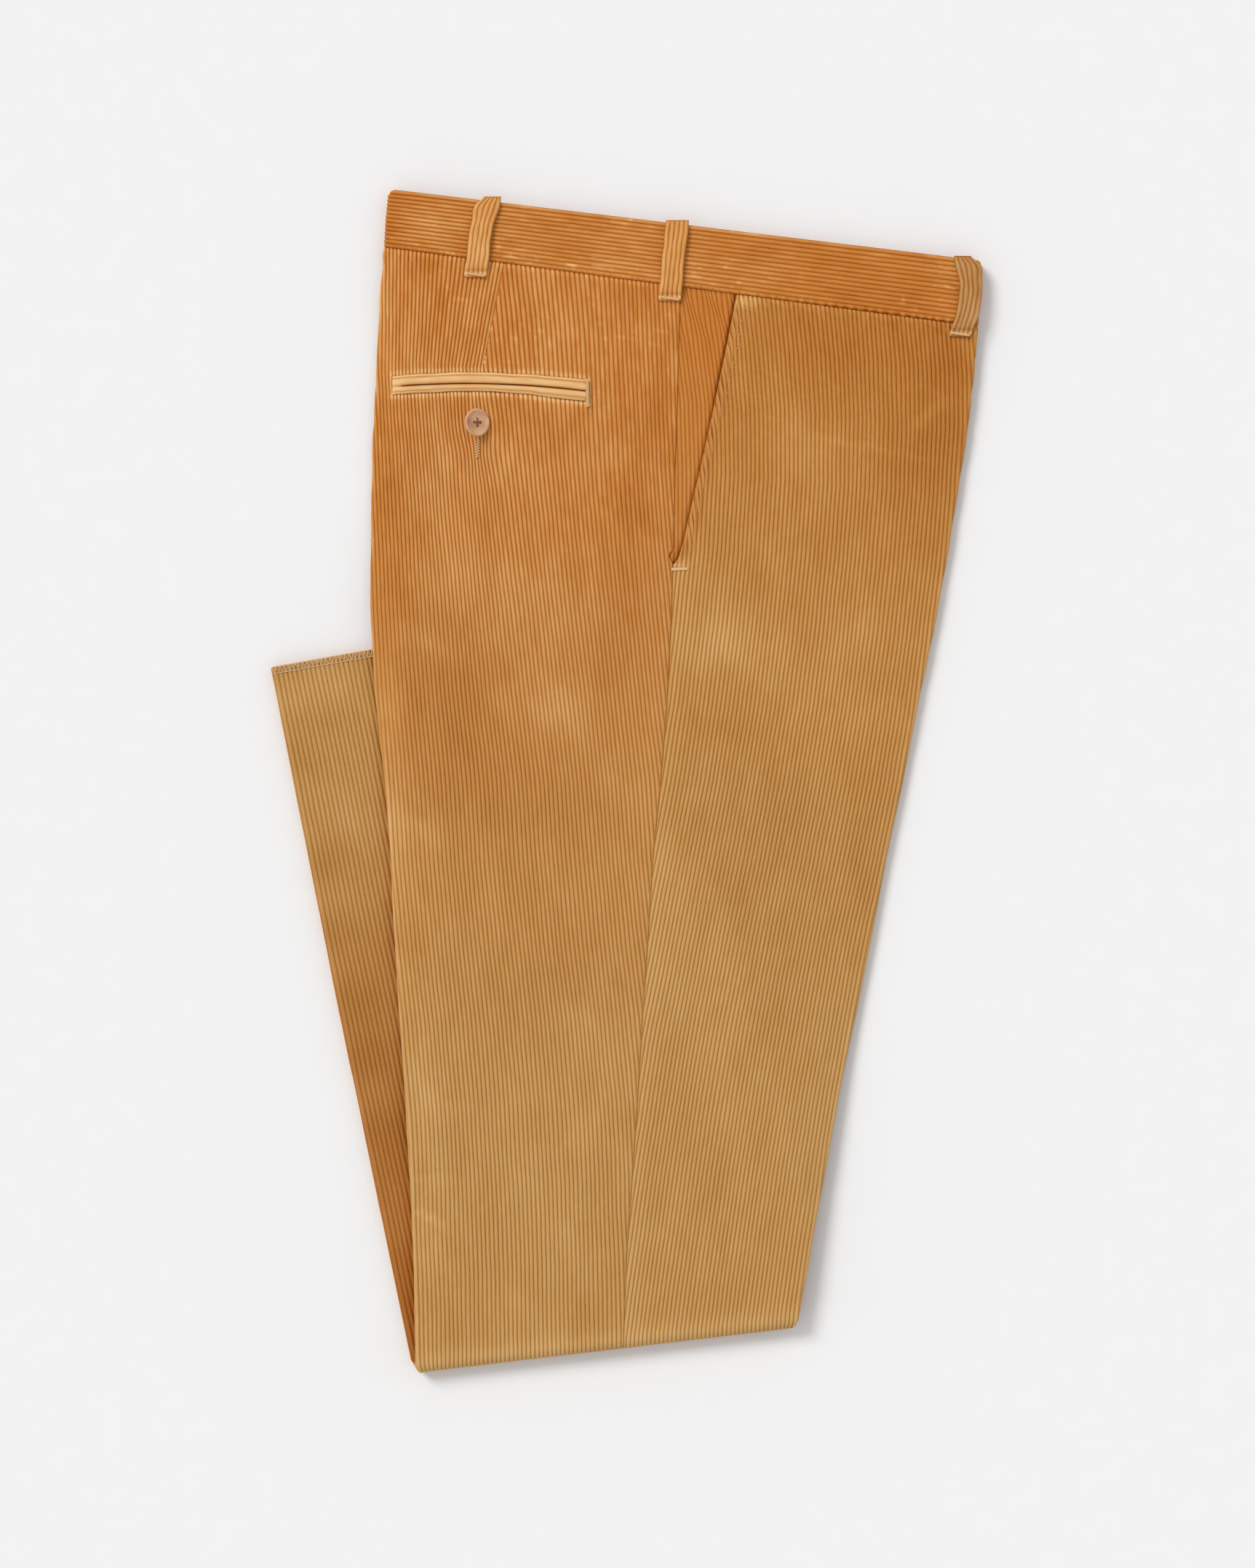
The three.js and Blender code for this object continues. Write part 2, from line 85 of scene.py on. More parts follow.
# Sections across the leg: height at x = 0, slope, and the places of crease, seam and crease
SECTIONS = {
    "y": (357, 353, 338, 318, 285, 245, 200, 150, 100, 50, 0, -50, -100, -150, -200, -250,
          -300, FOLD_Y, FOLD_END, -618, HEM_Y),
    "rise": (-0.121, -0.122, -0.128, -0.134, -0.122, -0.106, -0.089, -0.071, -0.052, -0.033,
             -0.014, 0.005, 0.024, 0.043, 0.062, 0.081, 0.1, 0.119, 0.119, 0.088, 0.061),
    "back": (-147.5, -150, -151.5, -152.5, -155.5, -157.5, -160, -161, -161, -158, -152, -148,
             -145.5, -142, -138.5, -135.5, -133.5, -132.5, -132.3, -124.4, -115.5),
    "seam": (37, 36.8, 36.4, 35.5, 34.5, 33.5, 32, 31, 29.5, 27, 23, 18, 15, 11.5, 8.5, 5,
             1.5, -0.5, -0.5, 1, 2),
    "front": (225.5, 225.5, 225.2, 224, 221.5, 217.5, 211, 203.5, 195, 185, 176, 166, 157,
              147.5, 137.5, 128.5, 119.5, 110.5, 110, 106, 102),
}
POCKET_EDGE = {
    "y": (318, 282, 244, 208, 178, 156, 147, 143, 140),
    "x": (70.8, 64, 56.5, 48.9, 42.1, 37.4, 34.9, 33.6, 31.4),
}
DART = {"y": (318, 251.5), "x": (-76.1, -89.9)}
SLIT = {"x": (-147, -82.6, -23), "y": (250, 251.6, 247)}
SLIT_CURVE = np.polyfit(SLIT["x"], SLIT["y"], 2)
UPPER_JET = 6.9
LOWER_JET = 4.8

# How far the wales have drifted sideways from where they cross y = 0, down the leg
WALES = {
    "y": (318, 285, 245, 200, 150, 100, 50, 0, -50, -100, -150, -200, -250, -300, FOLD_Y),
    "back_edge": (-13.2, -13.2, -14.2, -11.8, -9.6, -7.4, -4.4, 0, 3.9, 8.7, 14.5, 19, 21.9,
                  23.7, 24.7),
    "back_middle": (-37.2, -33.2, -29, -24.3, -18.6, -12, -5.7, 0, 3.9, 8.7, 14.5, 19, 21.9,
                    23.7, 24.7),
    "back_seam": (-25.2, -23.2, -21.5, -19.5, -15.6, -10.8, -5.7, 0, 3.9, 8.7, 14.5, 19,
                  21.9, 23.7, 24.7),
    "front_seam": (12.4, 16.7, 20.2, 21.4, 18.8, 14, 7.9, 0, -9.6, -19.5, -28.9, -37.7,
                   -45.7, -52.9, -59.8),
    "front_edge": (24.3, 26.6, 26.6, 23.9, 19.3, 14.5, 7.9, 0, -9.6, -19.5, -28.9, -37.7,
                   -45.7, -52.9, -59.8),
    "facing": (-13, -6.5, -1.5, 0, 0, 0, 0, 0, 0, 0, 0, 0, 0, 0, 0),
}
BACK_PITCH = 2.7
FRONT_PITCH = 2.65
LOWER_PITCH = 3.0
BAND_WALES = 14
BAND_DEPTH = 0.75
WALE_DEPTH = 0.76
# How high the cloth is where wales end at a seam, between a groove and a top
SEAM_HEIGHT = 0.4
# Steps across a wale, from its groove
FINE = (0, 0.15, 0.37, 0.63, 0.85)
COARSE = (0, 0.25, 0.5, 0.75)


def ease(t):
    t = np.clip(t, 0, 1)
    return t * t * (3 - 2 * t)


def bump(distance, width):
    """1 at no distance, falling smoothly to 0 over about twice the width."""
    return np.exp(-((distance / width) ** 2))


def along(table, key, at, by="y"):
    """A table's column at the given places, with straight lines between its rows."""
    order = np.argsort(table[by])
    places = np.asarray(table[by], float)[order]
    return np.interp(at, places, np.asarray(table[key], float)[order])


def section(key, y):
    return along(SECTIONS, key, y)


def noise(x, y, seed):
    """Smooth noise from -1 to 1 on a grid of one unit."""
    size = 64
    lattice = np.random.default_rng(seed).uniform(-1, 1, (size, size))
    ix, iy = np.floor(x).astype(int), np.floor(y).astype(int)
    fx, fy = ease(x - ix), ease(y - iy)

    def at(i, j):
        return lattice[i % size, j % size]

    near = at(ix, iy) * (1 - fx) + at(ix + 1, iy) * fx
    far = at(ix, iy + 1) * (1 - fx) + at(ix + 1, iy + 1) * fx
    return near * (1 - fy) + far * fy


def sink(x, y):
    """How far the stack has sunk where it no longer lies on the lower legs."""
    x, y = x - HEM_CORNER[0], y - HEM_CORNER[1]
    past_hem = np.maximum(x * HEM_OUT[0] + y * HEM_OUT[1], 0)
    past_leg = np.maximum(x * LEG_OUT[0] + y * LEG_OUT[1], 0)
    return SINK_DEPTH * ease((np.hypot(past_hem, past_leg) - SINK_FROM) / SINK_RUN)


# The pressed edges are thinner than the middle of the legs, most of all at the seat
SEAT_PRESS = 0.34
EDGE_PRESS = 0.12
PRESS_RUN = 13
# How far the fold's corners are drawn in
CORNER_PULL = 1.8


def thickness(x, y):
    """The share of its full height that the stack has at a place."""
    level = height_at(x, y)
    seat = ease((level + 10) / 60) * ease((WAIST_Y - 10 - level) / 60)
    back = bump(np.maximum(x - section("back", level), 0), PRESS_RUN)
    front = bump(np.maximum(section("front", level) - x, 0), PRESS_RUN)
    back_press = EDGE_PRESS + (SEAT_PRESS - EDGE_PRESS) * seat
    swell = 0.03 * noise(x / 70 + 9, y / 90 + 9, 5) + 0.015 * noise(x / 25, y / 40, 6)
    return 1 - back_press * back - EDGE_PRESS * front + swell


def fold_over(x, y, depth):
    """Places of the flat stack, at a distance out from the fold's middle, laid in place."""
    past = x * FOLD_DOWN[0] + (y - FOLD_Y) * FOLD_DOWN[1]
    turn = np.pi * np.clip(past / FOLD_RUN, 0, 1)
    shift = depth * np.sin(turn) - past - np.maximum(past - FOLD_RUN, 0)
    shift = np.where(past > 0, shift, 0)
    corner = CORNER_PULL * np.sin(turn) ** 2
    x = x + corner * (bump(x - section("back", FOLD_Y), 9) - bump(x - section("front", FOLD_Y), 9))
    upper = (FOLD_RADIUS + depth - sink(x, y)) * thickness(x, y)
    lower = FOLD_RADIUS + depth * np.cos(turn)
    settled = ease(-past / 60)
    flat = FOLD_RADIUS + depth - sink(x, y)
    height = np.where(past > 0, lower, flat + (upper - flat) * settled)
    return np.stack(
        [x + FOLD_DOWN[0] * shift, y + FOLD_DOWN[1] * shift, np.maximum(height, 0)], axis=-1
    )


def height_at(x, flat_y):
    """The section height whose line passes through a place on the flat cloth."""
    y = np.asarray(flat_y, float)
    for _ in range(6):
        y = flat_y - section("rise", y) * x
    return y


def place(leg, x, y, out, lip=LIP_OUTSIDE, bend=NEUTRAL):
    """Points of a leg's outer cloth. x runs on round the creases at both edges."""
    x, y = np.broadcast_arrays(np.asarray(x, float), np.asarray(y, float))
    back_lip = section("back", y) + lip
    front_lip = section("front", y) - lip
    over = np.maximum(np.maximum(back_lip - x, x - front_lip), 0)
    turn = np.minimum(over / bend, np.pi)
    turned = out * np.sin(turn) - np.maximum(over - np.pi * bend, 0)
    flat_x = np.where(x < back_lip, back_lip - turned, x)
    flat_x = np.where(x > front_lip, front_lip + turned, flat_x)
    lift = leg["lifts"] * WAIST_LIFT * ease((y - LIFT_FROM) / (WAIST_Y - LIFT_FROM))
    depth = leg["level"] + lift + leg["out"] * out * np.cos(turn)
    return fold_over(flat_x, y + section("rise", y) * flat_x, depth)


def on_leg(x, flat_y, out):
    """Points on the right leg's upper side, by their places on the flat cloth."""
    return place(RIGHT, x, height_at(x, flat_y), out)


def at_pixel(px, py):
    return (px - ORIGIN_PIXEL[0]) * PIXEL, (ORIGIN_PIXEL[1] - py) * PIXEL


def ridge(count):
    """Height across the wales, 0 in the grooves and 1 on the tops."""
    return np.sin(np.pi * np.mod(count, 1)) ** 0.6


class Shape:
    """A mesh in the making: points with what the cloth knows there, and faces with UVs."""

    def __init__(self):
        self.points, self.cloth, self.tone, self.faces = [], [], [], []
        self.count = 0

    def add(self, points, cloth=None, tone=None):
        """Adds a grid of points and gives the numbers that they have in the mesh."""
        shape = points.shape[:-1]
        numbers = self.count + np.arange(int(np.prod(shape))).reshape(shape)
        self.count += numbers.size
        self.points.append(points.reshape(-1, 3))
        cloth = np.zeros_like(points) if cloth is None else cloth
        tone = np.zeros(shape) if tone is None else tone
        self.cloth.append(np.broadcast_to(cloth, points.shape).reshape(-1, 3))
        self.tone.append(np.broadcast_to(tone, shape).reshape(-1))
        return numbers

    def face(self, numbers, uvs):
        """Adds faces of one size. A corner that repeats its neighbour is dropped."""
        numbers, uvs = np.asarray(numbers), np.asarray(uvs, float)
        repeated = numbers == np.roll(numbers, 1, axis=1)
        for pattern in np.unique(repeated, axis=0):
            chosen = np.all(repeated == pattern, axis=1)
            kept = ~pattern
            if kept.sum() > 2:
                self.faces.append((numbers[chosen][:, kept], uvs[chosen][:, kept]))

    def grid(self, numbers, u, v):
        """Faces between neighbouring rows and columns of a grid of points."""
        corners = [(0, 0), (1, 0), (1, 1), (0, 1)]
        rows, columns = numbers.shape
        uv = np.stack(np.broadcast_arrays(u, v), axis=-1)
        pick = [(slice(r, rows - 1 + r), slice(c, columns - 1 + c)) for r, c in corners]
        quads = np.stack([numbers[p] for p in pick], axis=-1).reshape(-1, 4)
        self.face(quads, np.stack([uv[p] for p in pick], axis=-2).reshape(-1, 4, 2))

    def build(self, name, material, sharp=55):
        points = np.concatenate(self.points)
        volume = 0
        for numbers, _ in self.faces:
            for i in range(1, numbers.shape[1] - 1):
                a, b, c = (points[numbers[:, k]] for k in (0, i, i + 1))
                volume += np.einsum("ij,ij->", a, np.cross(b, c))
        if volume < 0:
            self.faces = [(f[:, ::-1], uv[:, ::-1]) for f, uv in self.faces]
        mesh = bpy.data.meshes.new(name)
        mesh.vertices.add(len(points))
        mesh.vertices.foreach_set("co", (points * MM).ravel())
        corners = np.concatenate([f.ravel() for f, _ in self.faces])
        sizes = np.concatenate([np.full(len(f), f.shape[1]) for f, _ in self.faces])
        mesh.loops.add(len(corners))
        mesh.loops.foreach_set("vertex_index", corners.astype(np.int32))
        mesh.polygons.add(len(sizes))
        starts = np.concatenate([[0], np.cumsum(sizes)[:-1]])
        mesh.polygons.foreach_set("loop_start", starts.astype(np.int32))
        uvs = mesh.uv_layers.new(name="OFBake")
        uvs.data.foreach_set("uv", np.concatenate([uv.reshape(-1) for _, uv in self.faces]))
        cloth = mesh.attributes.new("cloth", "FLOAT_VECTOR", "POINT")
        cloth.data.foreach_set("vector", np.concatenate(self.cloth).ravel())
        tone = mesh.attributes.new("tone", "FLOAT", "POINT")
        tone.data.foreach_set("value", np.concatenate(self.tone))
        mesh.update(calc_edges=True)
        mesh.validate()
        loose = bmesh.new()
        loose.from_mesh(mesh)
        unused = [v for v in loose.verts if not v.link_faces]
        bmesh.ops.delete(loose, geom=unused, context="VERTS")
        loose.to_mesh(mesh)
        loose.free()
        mesh.shade_smooth()
        mesh.set_sharp_from_angle(angle=math.radians(sharp))
        mesh.materials.append(material)
        piece = bpy.data.objects.new(name, mesh)
        bpy.context.scene.collection.objects.link(piece)
        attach(piece, "root")
        return piece


# Shares of the UV square across a closed wall: its outer side, its inner side and margins
OUTER_U = 0.86
INNER_U = (0.99, 0.87)
CAP_V = (0.992, 1.0)
SIDE_V = (0.01, 0.985)


def runs(x):
    """For each point of a row, the first of the neighbours that share its place."""
    columns = np.arange(x.shape[1])
    fresh = np.ones(x.shape, bool)
    fresh[:, 1:] = np.abs(np.diff(x, axis=1)) > 1e-6
    return np.maximum.accumulate(np.where(fresh, columns, 0), axis=1)


def wall(shape, outer, inner, step, same, cloth, tone):
    """A closed wall between a fine outer grid and an inner one with every step-th column."""
    rows, columns = outer.shape[:2]
    outside = shape.add(outer, cloth, tone)
    inside = shape.add(inner)
    row = np.arange(rows)[:, None]
    if same is not None:
        outside = outside[row, same]
        inside = inside[row, runs_of(same, step)]
    u = np.linspace(0, OUTER_U, columns)[None, :]
    inner_u = np.linspace(*INNER_U, inner.shape[1])[None, :]
    v = np.linspace(SIDE_V[1], SIDE_V[0], rows)[:, None]
    shape.grid(outside, u, v)
    shape.grid(inside[:, ::-1], inner_u[:, ::-1], v)
    for a, b, ua, ub in (
        (inside[:, 0], outside[:, 0], 1.0, INNER_U[0]),
        (outside[:, -1], inside[:, -1], OUTER_U, INNER_U[1]),
    ):
        shape.grid(np.stack([a, b], axis=1), np.array([[ua, ub]]), v)
    for r in (0, rows - 1):
        low, high = (CAP_V if r == 0 else (0.008, 0.0))
        for k in range(inner.shape[1] - 1):
            fine = list(range(k * step, (k + 1) * step + 1))
            ring = [*outside[r, fine], inside[r, k + 1], inside[r, k]]
            uv = [(u[0, c], low) for c in fine] + [(u[0, fine[-1]], high), (u[0, fine[0]], high)]
            keep = [i for i in range(len(ring)) if ring[i] != ring[i - 1]]
            if len(keep) > 2:
                ring, uv = [ring[i] for i in keep], [uv[i] for i in keep]
                if r == 0:
                    ring, uv = ring[::-1], uv[::-1]
                shape.faces.append((np.array([ring]), np.array([uv])))
    return outside


def runs_of(same, step):
    """The inner grid's own runs, from the outer grid's."""
    coarse = same[:, ::step]
    fresh = np.ones(coarse.shape, bool)
    fresh[:, 1:] = np.diff(coarse, axis=1) != 0
    return np.maximum.accumulate(np.where(fresh, np.arange(coarse.shape[1]), 0), axis=1)


def panel(name, leg, wale_x, low, high, rows, relief, tone, material,
          phases=FINE, inside=LIP_INSIDE, outside=LIP_OUTSIDE, depth=WALE_DEPTH):
    """A panel whose outer side carries wales. wale_x(count, y) is where they run."""
    y = np.asarray(rows, float)[:, None]
    first, last = 0, 0
    while np.any(wale_x(np.array([[first]]), y) > low(y)):
        first -= 1
    while np.any(wale_x(np.array([[last]]), y) < high(y)):
        last += 1
    while np.all(wale_x(np.array([[first + 1]]), y) <= low(y)):
        first += 1
    count = np.concatenate([k + np.array(phases) for k in range(first, last)] + [[last]])[None]
    x = np.clip(wale_x(count, y), low(y), high(y))
    same = runs(x)
    height = ridge(count) * np.ones_like(x)
    ends = np.minimum(x - low(y), high(y) - x)
    inward = ease(ends / 0.4)
    height = height * inward + SEAM_HEIGHT * (1 - inward)
    out = outside + depth * (height - 1) + relief(x, y, count)
    outer = place(leg, x, y + 0 * x, np.maximum(out, inside + 0.35))
    step = len(phases)
    inner = place(leg, x[:, ::step], y + 0 * x[:, ::step], inside)
    cloth = np.stack(np.broadcast_arrays(count * BACK_PITCH, y, height), axis=-1)
    shape = Shape()
    wall(shape, outer, inner, step, same, cloth, tone(x, y, height, count))
    return shape.build(name, material)


def wander(count, y):
    """How wales stray sideways a little along their length."""
    return 0.45 * noise(count / 9, y / 55, 11) + 0.18 * noise(count / 2.5, y / 18, 12)


def below_fold(key, y):
    """Wales below the fold follow the crease."""
    return np.where(y < FOLD_Y, section(key, y) - section(key, FOLD_Y), 0)


BACK_ANCHORS = (-56, -22, 8)
FRONT_ANCHORS = (10, 76)
DART_COUNT = -22


def back_wale(count, y):
    shift = [along(WALES, key, y) for key in ("back_edge", "back_middle", "back_seam")]
    left = ease_between(count, BACK_ANCHORS[0], BACK_ANCHORS[1])
    right = ease_between(count, BACK_ANCHORS[1], BACK_ANCHORS[2])
    drift = shift[0] + (shift[1] - shift[0]) * left + (shift[2] - shift[1]) * right
    x = drift + BACK_PITCH * count + below_fold("back", y) + wander(count, y)
    x = x + button_pull(x, y)
    tip = DART["y"][1]
    at_tip = [along(WALES, key, tip) for key in ("back_edge", "back_middle")]
    tip_x = at_tip[0] + (at_tip[1] - at_tip[0]) * left + BACK_PITCH * count
    lean = 0.015 + 0.17 * ease((tip_x + 150) / 62)
    steep = tip_x + (y - tip) * lean + wander(count, y)
    dart_x = along(DART, "x", y)
    left_of_dart = tip_x < DART["x"][1]
    x_left = np.minimum(steep, dart_x)
    x_right = np.maximum(x, dart_x)
    return np.where(y > tip, np.where(left_of_dart, x_left, x_right), x)


def button_pull(x, y):
    """Wales part round the button and draw together at the buttonhole below it."""
    aside = (x - BUTTON["x"]) / 12
    flat_y = y + section("rise", y) * x
    parted = bump(flat_y - BUTTON["y"], 12) - 1.3 * bump(flat_y - BUTTON["y"] + 21, 12)
    return 1.7 * aside * np.exp(-(aside ** 2)) * parted


def ease_between(value, low, high):
    return np.clip((value - low) / (high - low), 0, 1)


def front_wale(count, y):
    shift = [along(WALES, key, y) for key in ("front_seam", "front_edge")]
    share = ease_between(count, *FRONT_ANCHORS)
    drift = shift[0] + (shift[1] - shift[0]) * share
    return drift + FRONT_PITCH * count + below_fold("front", y) + wander(count + 40, y)


def facing_wale(count, y):
    ripple = 0.9 * np.sin(y / 9 + count) * ease((y - 270) / 40)
    return 50 + along(WALES, "facing", y) + FRONT_PITCH * count + ripple


def seam_dip(distance, depth=0.2, width=0.7, puff=0.12):
    """Cloth drawn down into a seam, with a soft swelling beside it."""
    return puff * bump(distance - 4.5, 3) - depth * bump(distance, width)


def waist_dip(distance, count, seed):
    """Wales that end under the waistband, each drawn in by another amount."""
    swelling = 0.35 + 0.3 * noise(np.floor(count), 0 * distance, seed)
    return seam_dip(distance, 0.4, 0.9, swelling)


def lower_jet(x):
    """How deep the lower jet is, wider towards the side seam."""
    return LOWER_JET + 1.6 * ease((x - SLIT["x"][1]) / 50)


def jet_distance(x, y):
    """How far places on the back panel lie above and below the pocket's jets."""
    flat_y = y + section("rise", y) * x
    slit = np.polyval(SLIT_CURVE, x)
    beside = np.maximum(SLIT["x"][0] - x, x - SLIT["x"][2])
    return flat_y - slit - UPPER_JET, slit - lower_jet(x) - flat_y, beside


# The button, by its place on the flat cloth
BUTTON = {"x": -94, "y": 227, "radius": 8.9, "thick": 2.6}

# Small creases on the back panel: ends on the flat cloth, depth and width
CREASES = (
    (at_pixel(565, 1662), at_pixel(612, 1684), 0.7, 2.2),
    (at_pixel(566, 1620), at_pixel(632, 1623), 0.45, 2.5),
    (at_pixel(545, 1120), at_pixel(600, 1150), 0.4, 5),
    (at_pixel(548, 860), at_pixel(620, 900), 0.5, 7),
    (at_pixel(800, 640), at_pixel(880, 600), 0.35, 9),
)


# Small creases on the front panel, with painted highlight where they stand up and painted shade where they
# sink
FRONT_CREASES = (
    (at_pixel(1105, 598), at_pixel(1305, 638), -0.3, 2.5),
    (at_pixel(1260, 588), at_pixel(1303, 548), -0.5, 4),
    (at_pixel(1080, 1790), at_pixel(1130, 1768), 0.4, 4),
    (at_pixel(940, 985), at_pixel(1060, 1030), 0.25, 8),
)


def crease_relief(table, x, y):
    flat_y = y + section("rise", y) * x
    total = 0
    for (ax, ay), (bx, by), depth, width in table:
        length = math.hypot(bx - ax, by - ay)
        ux, uy = (bx - ax) / length, (by - ay) / length
        t = np.clip((x - ax) * ux + (flat_y - ay) * uy, 0, length)
        distance = np.hypot(x - ax - ux * t, flat_y - ay - uy * t)
        total = total - depth * bump(distance, width) * np.sin(np.pi * (t + 1) / (length + 2)) ** 0.5
    return total


def back_relief(x, y, count):
    above, below, beside = jet_distance(x, y)
    off = np.maximum(np.maximum(above, below), beside)
    under_jets = (above < 0) & (below < 0) & (beside < 1)
    near = np.maximum(off, 0)
    pucker = (0.3 + 0.35 * noise(count * 1.3, 0 * y, 21)) * bump(near - 5, 4) * (beside < 2)
    seam = seam_dip(section("seam", y) - x)
    waist = waist_dip(WAIST_Y - y, count, 22)
    dart_on = ease((y - DART["y"][1] - 2) / 8)
    dart = dart_on * seam_dip(np.abs(x - along(DART, "x", y)), 0.5, 0.8, 0.15)
    flat_y = y + section("rise", y) * x
    button = -0.35 * bump(np.hypot(x - BUTTON["x"], flat_y - BUTTON["y"]), 9)
    result = pucker - 0.25 * bump(near, 1.0) * (beside < 2) + seam + waist + dart + button
    fibres = 0.07 * noise(count * 2.1, y / 3.5, 23)
    return np.where(under_jets, -0.9, result + crease_relief(CREASES, x, y) + fibres)


def pocket_rope(y, from_edge):
    """The lumps, from -1 to 1, that the wales make where they turn over the slanted edge."""
    stray = 2.2 * noise(y / 8, 0 * y, 27)
    return np.sin(2 * np.pi * (y + 1.5 * from_edge) / 3.6 + stray)


def front_relief(x, y, count):
    edge = np.where(y >= POCKET_END, along(POCKET_EDGE, "x", y), section("seam", y))
    from_edge = x - edge
    slanted = ease((y - POCKET_END) / 6)
    rope = pocket_rope(y, from_edge)
    hem = -0.4 * bump(from_edge - 3.2, 2.8) - 0.2 * bump(from_edge - 7.4, 0.9) + 0.1 * rope
    rolled = -0.6 * bump(from_edge, 0.5)
    side = seam_dip(from_edge)
    waist = waist_dip(WAIST_Y - y, count, 24)
    fibres = 0.07 * noise(count * 2.1, y / 3.5, 25)
    creases = crease_relief(FRONT_CREASES, x, y)
    return slanted * (hem + rolled) + (1 - slanted) * side + waist + fibres + creases


def plain_relief(x, y, count):
    return 0.05 * noise(count * 1.7, y / 5, 26)


# Lighter and darker places of the cloth: middle and size in pixels, then how much lighter
BACK_PATCHES = (
    (530, 730, 38, 170, -0.28), (556, 950, 34, 120, -0.16), (870, 700, 60, 150, -0.14),
    (640, 990, 60, 90, -0.26), (620, 1100, 60, 40, -0.18), (770, 975, 80, 34, 0.24),
    (850, 860, 30, 120, -0.12), (720, 1130, 80, 30, -0.12), (540, 1110, 16, 170, 0.22),
    (560, 470, 30, 60, 0.12), (640, 450, 45, 70, 0.1), (800, 430, 70, 60, 0.08),
    (740, 860, 60, 110, 0.1), (780, 1090, 70, 60, -0.1), (600, 1500, 30, 160, 0.1),
    (700, 640, 60, 40, 0.1), (590, 640, 40, 60, 0.08), (575, 1290, 20, 60, -0.1),
    (580, 1480, 26, 60, 0.14), (700, 740, 90, 40, -0.1), (620, 780, 50, 40, 0.12),
    (690, 1200, 110, 50, -0.1), (640, 1560, 60, 30, -0.1), (780, 1700, 60, 60, 0.08),
)
FRONT_PATCHES = (
    (1160, 470, 170, 75, -0.3), (1300, 540, 50, 130, -0.34), (1000, 888, 62, 40, 0.34),
    (960, 850, 34, 80, 0.2), (936, 775, 12, 8, 0.45), (1024, 415, 24, 9, 0.6),
    (1130, 900, 60, 80, 0.08), (1250, 760, 40, 120, -0.1), (1010, 450, 22, 45, 0.14),
    (1090, 640, 60, 90, 0.08), (950, 1330, 70, 120, 0.12), (1190, 1180, 26, 160, -0.12),
    (1080, 1090, 50, 60, -0.1), (1100, 1790, 40, 20, 0.16), (1240, 640, 60, 90, -0.14),
)


def patches(table, x, y, seed):
    flat_y = y + section("rise", y) * x
    total = 0.1 * noise(x / 40 + y / 100, y / 55, seed) + 0.06 * noise(x / 12, y / 24, seed + 50)
    for px, py, wide, tall, amount in table:
        at_x, at_y = at_pixel(px, py)
        away = ((x - at_x) / (wide * PIXEL)) ** 2 + ((flat_y - at_y) / (tall * PIXEL)) ** 2
        total = total + amount * np.exp(-away)
    return total


def streaks(count, run, seed):
    """Paler and deeper stretches along single wales and along groups of them."""
    wale = np.floor(count)
    return 0.6 * noise(wale, run / 8, seed) + 0.5 * noise(wale / 3.3, run / 22, seed + 1)


def scuffs(x, y, seed):
    """Sparse pale marks where the pile is worn across the wales."""
    return 1.6 * np.maximum(noise(x / 4, y / 1.8, seed) + 0.5 * noise(x / 25, y / 20, seed) - 0.8, 0)


def pale_ends(distance, height, count, strength=0.5):
    """Paler tops of wales where they end at a seam."""
    uneven = 0.7 + 0.5 * noise(np.floor(count), 0 * distance, 36)
    return strength * uneven * bump(distance - 1.5, 1.2) * height - 0.3 * bump(distance, 0.5)


def dotted(distance, run, width=0.5, pitch=3.2):
    """A seam's thin dark line, broken by its stitches."""
    return -bump(distance, width) * (0.65 + 0.35 * np.sin(2 * np.pi * run / pitch))


def back_tone(x, y, height, count):
    above, below, beside = jet_distance(x, y)
    near = np.maximum(np.maximum(np.maximum(above, below), beside), 0)
    to_seam = section("seam", y) - x
    to_crease = x - section("back", y)
    seam_shows = 0.05 + 0.4 * ease((y + 50) / 250)
    shade = seam_shows * dotted(to_seam, y) + pale_ends(WAIST_Y - y, height, count, 0.35)
    ragged = 0.8 + 0.4 * noise(np.floor(count), 0 * y, 36)
    fringe = ragged * bump(near - 0.8, 1.9) * (0.35 + 0.75 * height) + 0.2 * bump(near, 5) * height
    shade = shade + fringe * (beside < 2)
    dart_on = ease((y - DART["y"][1]) / 3)
    from_dart = x - along(DART, "x", y)
    stitched = ease((290 - y) / 14) * np.maximum(np.sin(2 * np.pi * y / 3.4), 0)
    shade = shade + dart_on * (0.9 * stitched * bump(from_dart, 0.8) + 0.3 * dotted(from_dart, y))
    # Painted highlight along the pressed back crease.
    crease = 0.35 * bump(to_crease - 0.5, 1.6) * (0.6 + 0.4 * noise(0 * y, y / 14, 37))
    upper = ease((y - 20) / 230)
    strength = 0.1 + 0.14 * upper + 0.06 * bump(to_crease, 16)
    # Tops paler and grooves deeper towards the upper back, partly the pile and partly painted highlight and
    # shade.
    crisp = (0.08 + 0.4 * upper * ease((20 - x) / 120)) * (height - 0.6)
    # Painted highlight over the turn of the fold.
    shade = shade + 0.4 * bump(y - FOLD_Y + 4, 8)
    # Sunken creases are painted paler, a painted highlight.
    return (shade + crease + strength * streaks(count, y, 38) - 0.6 * crease_relief(CREASES, x, y)
            + crisp + patches(BACK_PATCHES, x, y, 31)
            + 0.5 * ease((y - 190) / 110) * scuffs(x, y, 64))


